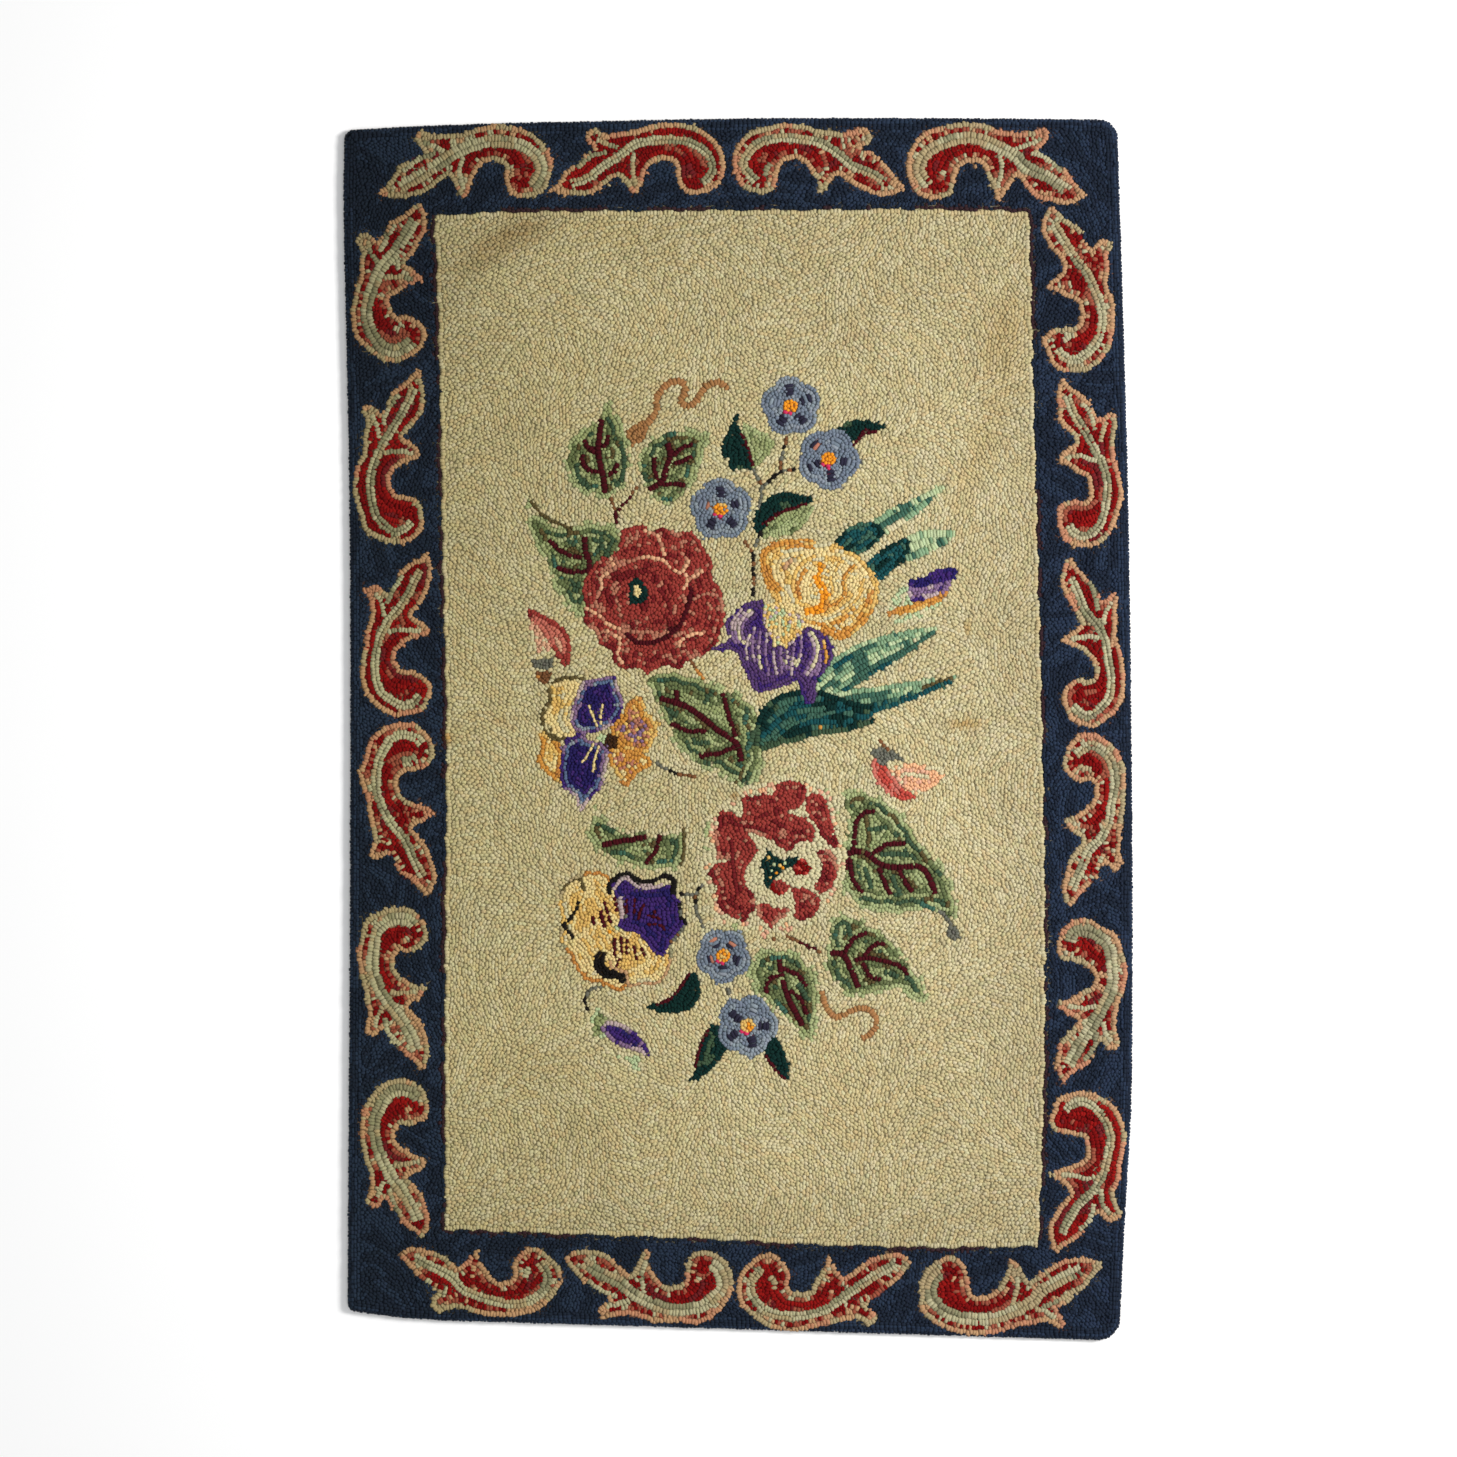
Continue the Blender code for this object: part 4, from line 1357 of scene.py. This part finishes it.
def wool_tint_and_painted_light(x, y):
    """How the colour drifts over the rug: broad uneven fading, a darker rim towards the edges, painted light
    that is brighter towards the right and darker towards the top, and the listed patches of soil and of
    painted light and shade.
    """
    broad = 0.018 * np.sin(x / 61 + 1.7 * np.sin(y / 83))
    broad = broad + 0.016 * np.sin(y / 47 + 1.3 * np.sin(x / 95) + 2)
    fine = 0.014 * np.sin(x / 17 + y / 29) + 0.012 * np.sin(y / 13 - x / 23 + 1)
    tint = np.repeat((1 + broad + fine)[:, None], 3, axis=1)
    # Painted light: brighter and a little bluer towards the right, where the key lamp stands.
    tint *= 1 + np.outer(x / 270, (0.055, 0.055, 0.110))
    rim = np.clip(np.maximum(np.abs(x) / 262, np.abs(y) / 450), 0, 1) ** 8
    tint *= 1 - np.outer(rim, (0.060, 0.068, 0.070))
    # Painted light: a little darker towards the top.
    tint *= 1 - 0.02 * (y / 450)[:, None]
    for (cx, cy), across, along, turn, shade in SOIL_AND_PAINTED_LIGHT:
        c = math.cos(math.radians(turn))
        s = math.sin(math.radians(turn))
        u = ((x - cx) * c + (y - cy) * s) / across
        v = (-(x - cx) * s + (y - cy) * c) / along
        weight = np.exp(-((u * u + v * v) ** 1.3))[:, None]
        tint *= 1 - weight * (1 - np.array(shade))
    return tint


def linear(colour):
    """Colour from 0 to 255 as the linear value that shaders use."""
    c = np.asarray(colour, float) / 255
    return np.where(c <= 0.04045, c / 12.92, ((c + 0.055) / 1.055) ** 2.4)


YARN_COLOURS = linear([YARNS[name] for name in YARN_NAMES])


def loop_colours(loops):
    """Linear colour of each loop, a little uneven from loop to loop."""
    base = YARN_COLOURS[loops[:, YARN].astype(int)]
    uneven = rng.normal(1, 0.04, (len(loops), 1)) + rng.normal(0, 0.015, (len(loops), 3))
    return np.clip(base * uneven * wool_tint_and_painted_light(loops[:, X], loops[:, Y]), 0, 1)


# The CAD model's surfaces. The pile is widest at this height, in metres.
WIDEST_LEVEL = 0.0049


def node_tree(name):
    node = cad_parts[name]
    corners = [vertex.co for vertex in node.data.vertices]
    return BVHTree.FromPolygons(corners, [face.vertices for face in node.data.polygons])


def pile_outline(tree):
    """Outline of the pile at its widest, in millimetres, found from outside all round."""
    points = []
    for angle in np.linspace(0, 2 * math.pi, 1400, endpoint=False):
        away = Vector((math.cos(angle), math.sin(angle), 0))
        hit = tree.ray_cast(away * 2 + Vector((0, 0, WIDEST_LEVEL)), -away)[0]
        points.append((hit.x / MM, hit.y / MM))
    outline = np.array(points)
    line = closed_line(outline)
    run = run_along(line)
    places = np.arange(0, run[-1], 2.0)
    return np.stack([np.interp(places, run, line[:, 0]), np.interp(places, run, line[:, 1])], axis=1)


def seat_loops(loops, tree):
    """Place on the pile's surface and the surface's normal for each loop, in metres."""
    places = np.zeros((len(loops), 3))
    normals = np.zeros((len(loops), 3))
    down = Vector((0, 0, -1))
    for number, (x, y) in enumerate(loops[:, [X, Y]] * MM):
        hit, normal, _, _ = tree.ray_cast(Vector((x, y, 0.05)), down)
        places[number] = hit if hit else (x, y, 0.006)
        normals[number] = normal if hit else (0, 0, 1)
    return places, normals


# One loop: a pillow with a six-sided foot and a four-sided top. Columns: along, across, height, painted
# shade.
PILLOW = np.array(
    (
        (-1.0, 0.0, -1.0, 0.88), (-0.62, -0.96, -0.72, 0.90), (0.62, -0.96, -0.72, 0.90),
        (1.0, 0.0, -1.0, 0.88), (0.62, 0.96, -0.72, 0.90), (-0.62, 0.96, -0.72, 0.90),
        (-0.52, -0.40, 0.0, 1.0), (0.52, -0.40, 0.0, 1.0), (0.52, 0.40, 0.0, 1.0), (-0.52, 0.40, 0.0, 1.0),
    )
)
PILLOW_FACES = np.array(
    (
        (6, 7, 8), (6, 8, 9), (1, 2, 7), (1, 7, 6), (4, 5, 9), (4, 9, 8),
        (2, 3, 7), (3, 8, 7), (3, 4, 8), (5, 0, 9), (0, 6, 9), (0, 1, 6),
    )
)
LOOP_HEIGHT = 0.0019


def pillow_vertices(places, normals, loops):
    """Corners of every pillow, each turned, tilted, bent and sized a little differently."""
    n = len(loops)
    up = normals + rng.normal(0, 0.10, (n, 3))
    up /= np.linalg.norm(up, axis=1)[:, None]
    along = np.stack([np.cos(loops[:, TURN]), np.sin(loops[:, TURN]), np.zeros(n)], axis=1)
    along -= up * np.sum(along * up, axis=1)[:, None]
    along /= np.maximum(np.linalg.norm(along, axis=1), 1e-6)[:, None]
    across = np.cross(up, along)
    half_length = loops[:, LENGTH] * MM * 0.5 * rng.uniform(1.04, 1.26, n)
    half_width = loops[:, WIDTH] * MM * 0.5 * rng.uniform(1.04, 1.26, n)
    height = LOOP_HEIGHT * rng.uniform(0.85, 1.15, n)
    lift = rng.normal(0, 0.00022, n)
    bend = rng.normal(0, 0.22, n)
    u = PILLOW[:, 0][None, :] * half_length[:, None]
    v = (PILLOW[:, 1][None, :] + bend[:, None] * (PILLOW[:, 0] ** 2 - 0.3)[None, :]) * half_width[:, None]
    w = PILLOW[:, 2][None, :] * height[:, None] + lift[:, None]
    flat = places[:, None] + u[..., None] * along[:, None] + v[..., None] * across[:, None]
    return flat + w[..., None] * up[:, None]


def cell_map(count):
    """Texture places of the pillows' corners: each pillow in a small square of its own."""
    side = math.ceil(math.sqrt(count))
    number = np.arange(count)
    margin = 0.16
    u = (PILLOW[PILLOW_FACES.ravel(), 0] + 1) / 2
    v = (PILLOW[PILLOW_FACES.ravel(), 1] + 1) / 2
    place_u = (number % side)[:, None] + margin + (1 - 2 * margin) * u[None, :]
    place_v = (number // side)[:, None] + margin + (1 - 2 * margin) * v[None, :]
    return np.stack([place_u, place_v], axis=-1).reshape(-1, 2) / side


def new_object(name, vertices, faces, material):
    """Mesh object from arrays of corners and triangles."""
    mesh = bpy.data.meshes.new(name)
    mesh.vertices.add(len(vertices))
    mesh.vertices.foreach_set("co", vertices.ravel())
    mesh.loops.add(faces.size)
    mesh.loops.foreach_set("vertex_index", faces.ravel())
    mesh.polygons.add(len(faces))
    mesh.polygons.foreach_set("loop_start", np.arange(0, faces.size, 3))
    mesh.polygons.foreach_set("use_smooth", np.ones(len(faces), bool))
    mesh.update(calc_edges=True)
    mesh.validate()
    mesh.materials.append(material)
    obj = bpy.data.objects.new(name, mesh)
    bpy.context.scene.collection.objects.link(obj)
    return obj


def paint(mesh, colours):
    """Stores a linear colour at each corner point of the mesh, for the material."""
    layer = mesh.color_attributes.new("yarn", "FLOAT_COLOR", "POINT")
    values = np.ones((len(colours), 4))
    values[:, :3] = colours
    layer.data.foreach_set("color", values.ravel())


def loop_object(name, places, normals, loops, colours, material):
    """One piece of many loops, with its colours and texture places."""
    vertices = pillow_vertices(places, normals, loops).reshape(-1, 3)
    faces = (PILLOW_FACES[None] + len(PILLOW) * np.arange(len(loops))[:, None, None]).reshape(-1, 3)
    obj = new_object(name, vertices, faces, material)
    # Painted shade: the foot of each loop darker than its top.
    painted_foot_shade = np.tile(PILLOW[:, 3], len(loops))[:, None]
    paint(obj.data, np.repeat(colours, len(PILLOW), axis=0) * painted_foot_shade)
    layer = obj.data.uv_layers.new(name="OFBake")
    layer.data.foreach_set("uv", cell_map(len(loops)).ravel())
    return obj


# Which yarns make up each piece of loops
PIECES = {
    "cream_loops": ("cream",),
    "light_cream_loops": ("light cream",),
    "grey_cream_loops": ("grey cream",),
    "warm_cream_loops": ("warm cream",),
    "navy_loops": ("navy", "dusk"),
    "blue_navy_loops": ("blue navy",),
    "tan_loops": ("tan", "pink tan", "beige", "tendril", "petal line", "peach", "pale pink"),
    "red_loops": (
        "red", "bright red", "rose", "deep rose", "maroon", "coral", "magenta", "pink", "fleck", "mottle",
    ),
    "green_loops": (
        "sage", "grey sage", "pale sage", "light leaf", "leaf", "deep leaf", "teal leaf", "olive",
        "dark green", "teal", "seafoam", "mint", "grey",
    ),
    "bright_loops": (
        "blue", "light blue", "spot", "violet", "soft violet", "deep violet", "lilac", "blue lilac",
        "pale lilac", "yellow", "pale yellow", "gold", "orange", "black", "brown", "dark brown",
        "orange brown",
    ),
}


# Rows on the side of the pile: millimetres in from the edge, metres up, and how far they lean up
RIM_ROWS = ((0.2, 0.0055, 0.45), (0.5, 0.0040, -0.25))


def rim_loops(edge):
    """Rows of dark loops on the side of the pile, facing out. Returns their places, normals and loops."""
    out = outward(edge)
    places = []
    normals = []
    loops = []
    for depth, height, lean in RIM_ROWS:
        line = closed_line(edge - out * depth)
        x, y, turn = spread(line, 3.1)
        n = len(x)
        places.append(np.column_stack([x * MM, y * MM, np.full(n, height)]))
        normals.append(np.column_stack([-np.sin(turn), np.cos(turn), np.full(n, lean)]))
        yarn = pick_yarns("ground", n)
        blank = np.zeros(n)
        columns = [x, y, turn, np.full(n, 3.4), np.full(n, 3.0), yarn, blank, blank]
        loops.append(np.column_stack(columns))
    places = np.vstack(places)
    normals = np.vstack(normals)
    sides = np.sign(np.sum(normals[:, :2] * places[:, :2], axis=1))
    normals[:, :2] *= sides[:, None]
    return places, normals, np.vstack(loops)


# Materials
def new_material(name):
    material = bpy.data.materials.new(name)
    material.use_nodes = True
    tree = material.node_tree
    return material, tree, tree.nodes["Principled BSDF"]


def add_bump(tree, shader, height, strength, distance):
    bump = tree.nodes.new("ShaderNodeBump")
    bump.inputs["Strength"].default_value = strength
    bump.inputs["Distance"].default_value = distance
    tree.links.new(height, bump.inputs["Height"])
    tree.links.new(bump.outputs["Normal"], shader.inputs["Normal"])


def add_noise(tree, scale, detail, roughness=0.6):
    place = tree.nodes.new("ShaderNodeTexCoord")
    noise = tree.nodes.new("ShaderNodeTexNoise")
    noise.inputs["Scale"].default_value = scale
    noise.inputs["Detail"].default_value = detail
    noise.inputs["Roughness"].default_value = roughness
    tree.links.new(place.outputs["Object"], noise.inputs["Vector"])
    return noise


def add_multiply(tree, first, second, share):
    """Colour first times colour second. share is how much of second counts."""
    mix = tree.nodes.new("ShaderNodeMix")
    mix.data_type = "RGBA"
    mix.blend_type = "MULTIPLY"
    mix.inputs[0].default_value = share
    tree.links.new(first, mix.inputs[6])
    tree.links.new(second, mix.inputs[7])
    return mix.outputs[2]


def add_range(tree, value, low, high):
    """Spreads a value from 0 to 1 over the range from low to high."""
    spread_out = tree.nodes.new("ShaderNodeMapRange")
    spread_out.inputs["To Min"].default_value = low
    spread_out.inputs["To Max"].default_value = high
    tree.links.new(value, spread_out.inputs["Value"])
    return spread_out.outputs["Result"]


def wool_material():
    """Matt wool in the colour of the loop, with uneven fibres."""
    material, tree, shader = new_material("wool")
    colour = tree.nodes.new("ShaderNodeVertexColor")
    colour.layer_name = "yarn"
    fibres = add_noise(tree, 1500, 3)
    tone = add_range(tree, fibres.outputs["Fac"], 0.76, 1.22)
    tree.links.new(add_multiply(tree, colour.outputs["Color"], tone, 1.0), shader.inputs["Base Color"])
    shader.inputs["Roughness"].default_value = 0.92
    shader.inputs["Specular IOR Level"].default_value = 0.08
    shader.inputs["Sheen Weight"].default_value = 0.03
    shader.inputs["Sheen Roughness"].default_value = 0.5
    add_bump(tree, shader, fibres.outputs["Fac"], 0.7, 0.0006)
    return material


def add_threads(tree, direction, scale):
    """Sine bands for one direction of the cloth's threads."""
    place = tree.nodes.new("ShaderNodeTexCoord")
    wave = tree.nodes.new("ShaderNodeTexWave")
    wave.bands_direction = direction
    wave.inputs["Scale"].default_value = scale
    wave.inputs["Distortion"].default_value = 0.6
    wave.inputs["Detail"].default_value = 1.0
    tree.links.new(place.outputs["Object"], wave.inputs["Vector"])
    return wave.outputs["Fac"]


def burlap_material():
    """Coarse jute cloth. Its colour layer holds the backs of the loops."""
    material, tree, shader = new_material("burlap")
    colour = tree.nodes.new("ShaderNodeVertexColor")
    colour.layer_name = "yarn"
    warp = add_threads(tree, "X", 150)
    weft = add_threads(tree, "Y", 150)
    weave = tree.nodes.new("ShaderNodeMath")
    weave.operation = "MULTIPLY"
    tree.links.new(warp, weave.inputs[0])
    tree.links.new(weft, weave.inputs[1])
    tone = add_range(tree, weave.outputs[0], 0.72, 1.12)
    tree.links.new(add_multiply(tree, colour.outputs["Color"], tone, 1.0), shader.inputs["Base Color"])
    shader.inputs["Roughness"].default_value = 0.95
    shader.inputs["Specular IOR Level"].default_value = 0.2
    add_bump(tree, shader, weave.outputs[0], 0.6, 0.0008)
    return material


def floor_material():
    material, _, shader = new_material("white_floor")
    shader.inputs["Base Color"].default_value = (0.97, 0.97, 0.97, 1.0)
    shader.inputs["Roughness"].default_value = 0.9
    shader.inputs["Specular IOR Level"].default_value = 0.1
    return material


# The cloth under the loops
PILE_EDGE = 0.011
CLOTH_EDGE = 0.012
SHRINK = 0.0021


def faces_down(face):
    return face.normal.z < -0.5


def long_edges(work, longest, below):
    """Edges over a length, either all of them or those of the faces that point down."""
    edges = [edge for edge in work.edges if edge.calc_length() > longest]
    if below:
        edges = [edge for edge in edges if any(faces_down(face) for face in edge.link_faces)]
    return edges


def finer_copy(node_name, name, material, longest, below):
    """Copy of a CAD node with short edges on its underside, or else on its upper side, without the other
    side and moved in along its normals."""
    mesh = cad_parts[node_name].data.copy()
    mesh.name = name
    mesh.materials.clear()
    mesh.materials.append(material)
    work = bmesh.new()
    work.from_mesh(mesh)
    bmesh.ops.remove_doubles(work, verts=work.verts, dist=0.000005)
    if not below:
        hidden = [face for face in work.faces if faces_down(face)]
        bmesh.ops.delete(work, geom=hidden, context="FACES")
        work.normal_update()
        for vertex in work.verts:
            vertex.co -= vertex.normal * SHRINK
    for _ in range(9):
        edges = long_edges(work, longest, below)
        if not edges:
            break
        bmesh.ops.subdivide_edges(work, edges=edges, cuts=1)
        bmesh.ops.triangulate(work, faces=[face for face in work.faces if len(face.verts) > 3])
    work.to_mesh(mesh)
    work.free()
    obj = bpy.data.objects.new(name, mesh)
    bpy.context.scene.collection.objects.link(obj)
    return obj


def vertex_places(mesh):
    co = np.empty(len(mesh.vertices) * 3)
    mesh.vertices.foreach_get("co", co)
    return co.reshape(-1, 3)


def colours_under(loop_map, colours, x, y, default):
    """Colour of the loop over each place, or the default where there is none."""
    i, j = loop_map.cells(x, y)
    number = loop_map.taken[i, j]
    found = np.tile(default, (len(x), 1))
    found[number >= 0] = colours[number[number >= 0]]
    return found


BURLAP = linear((176, 146, 104))
NAVY = linear(YARNS["navy"])
HEM_DEPTH = 31.0
# Painted shade: the share of the loops' colour that the surface between them keeps.
DEPTH_SHADE = 0.80


def pile_base(loop_map, colours, material):
    """Surface between the loops in their colours, darkened as painted shade for the depth there."""
    obj = finer_copy("pile", "pile_base", material, PILE_EDGE, False)
    co = vertex_places(obj.data) / MM
    under = colours_under(loop_map, colours, co[:, 0], co[:, 1], NAVY)
    paint(obj.data, DEPTH_SHADE * under)
    return obj


def burlap_cloth(loop_map, colours, edge, material):
    """The burlap, with the backs of the loops showing inside its hem."""
    obj = finer_copy("foundation", "burlap_cloth", material, CLOTH_EDGE, True)
    co = vertex_places(obj.data) / MM
    under = colours_under(loop_map, colours, co[:, 0], co[:, 1], NAVY)
    hem_line = edge - outward(edge) * HEM_DEPTH
    shows = inside(hem_line, co[:, 0], co[:, 1]) & (rng.random(len(co)) < 0.8)
    cloth = BURLAP * rng.normal(1, 0.06, (len(co), 1))
    paint(obj.data, np.where(shows[:, None], 0.75 * under + 0.1 * cloth, cloth))
    return obj


# Stage
PIXEL = 0.875 * MM
PHOTO_SIDE = 1457
PHOTO_MIDDLE = 728.5
RUG_MIDDLE = (738.0, 729.0)
LENS = 85.0
SENSOR = 36.0


def add_camera():
    """Looks straight down, with the rug where the photograph has it."""
    data = bpy.data.cameras.new("camera")
    data.lens = LENS
    data.sensor_width = SENSOR
    data.clip_end = 50
    camera = bpy.data.objects.new("camera", data)
    bpy.context.scene.collection.objects.link(camera)
    distance = PHOTO_SIDE * PIXEL * LENS / SENSOR
    right = (PHOTO_MIDDLE - RUG_MIDDLE[0]) * PIXEL
    up = (RUG_MIDDLE[1] - PHOTO_MIDDLE) * PIXEL
    camera.location = (right, up, distance)
    bpy.context.scene.camera = camera


def add_area_light(name, place, target, size, power, colour=(1, 1, 1)):
    data = bpy.data.lights.new(name, "AREA")
    data.shape = "SQUARE"
    data.size = size
    data.energy = power
    data.color = colour
    light = bpy.data.objects.new(name, data)
    light.location = place
    light.rotation_euler = (Vector(target) - Vector(place)).to_track_quat("-Z", "Y").to_euler()
    bpy.context.scene.collection.objects.link(light)


def add_lights():
    add_area_light("key", (2.1, 0.5, 1.9), (0.05, 0, 0), 0.9, 90, (1.0, 0.985, 0.965))
    add_area_light("fill", (0.2, -0.6, 3.2), (0, 0, 0), 2.4, 29)
    world = bpy.data.worlds.new("world")
    world.use_nodes = True
    background = world.node_tree.nodes["Background"]
    background.inputs["Color"].default_value = (0.96, 0.98, 1.0, 1.0)
    background.inputs["Strength"].default_value = 0.38
    bpy.context.scene.world = world


def add_floor():
    half = 12.0
    corners = np.array(((-half, -half, 0), (half, -half, 0), (half, half, 0), (-half, half, 0)), float)
    floor = new_object("floor", corners, np.array(((0, 1, 2), (0, 2, 3))), floor_material())


def add_stage():
    add_floor()
    add_lights()
    add_camera()
    view = bpy.context.scene.view_settings
    view.view_transform = "Standard"
    view.look = "None"


def add_loop_pieces(loops, places, normals, colours, material):
    """Splits the loops into pieces by yarn and builds each."""
    names = np.array(YARN_NAMES)[loops[:, YARN].astype(int)]
    pieces = []
    for name, yarns in PIECES.items():
        mine = np.isin(names, yarns)
        pieces.append(loop_object(name, places[mine], normals[mine], loops[mine], colours[mine], material))
    return pieces


def build_rug():
    tree = node_tree("pile")
    edge = pile_outline(tree)
    design = whole_design(edge)
    loop_map = LoopMap(design, edge)
    loops = place_loops(design, loop_map)
    loop_map.widen()
    colours = loop_colours(loops)
    places, normals = seat_loops(loops, tree)
    rim_places, rim_normals, rims = rim_loops(edge)
    wool = wool_material()
    burlap = burlap_material()
    base = pile_base(loop_map, colours, wool)
    cloth = burlap_cloth(loop_map, colours, edge, burlap)
    all_loops = np.vstack([loops, rims])
    all_colours = np.vstack([colours, loop_colours(rims)])
    all_places = np.vstack([places, rim_places])
    all_normals = np.vstack([normals, rim_normals])
    pieces = add_loop_pieces(all_loops, all_places, all_normals, all_colours, wool)
    for piece in pieces + [base]:
        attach(piece, "root")
    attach(cloth, "root")
    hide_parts("pile")
    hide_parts("foundation")
    print("loops", len(all_loops))


build_rug()
add_stage()
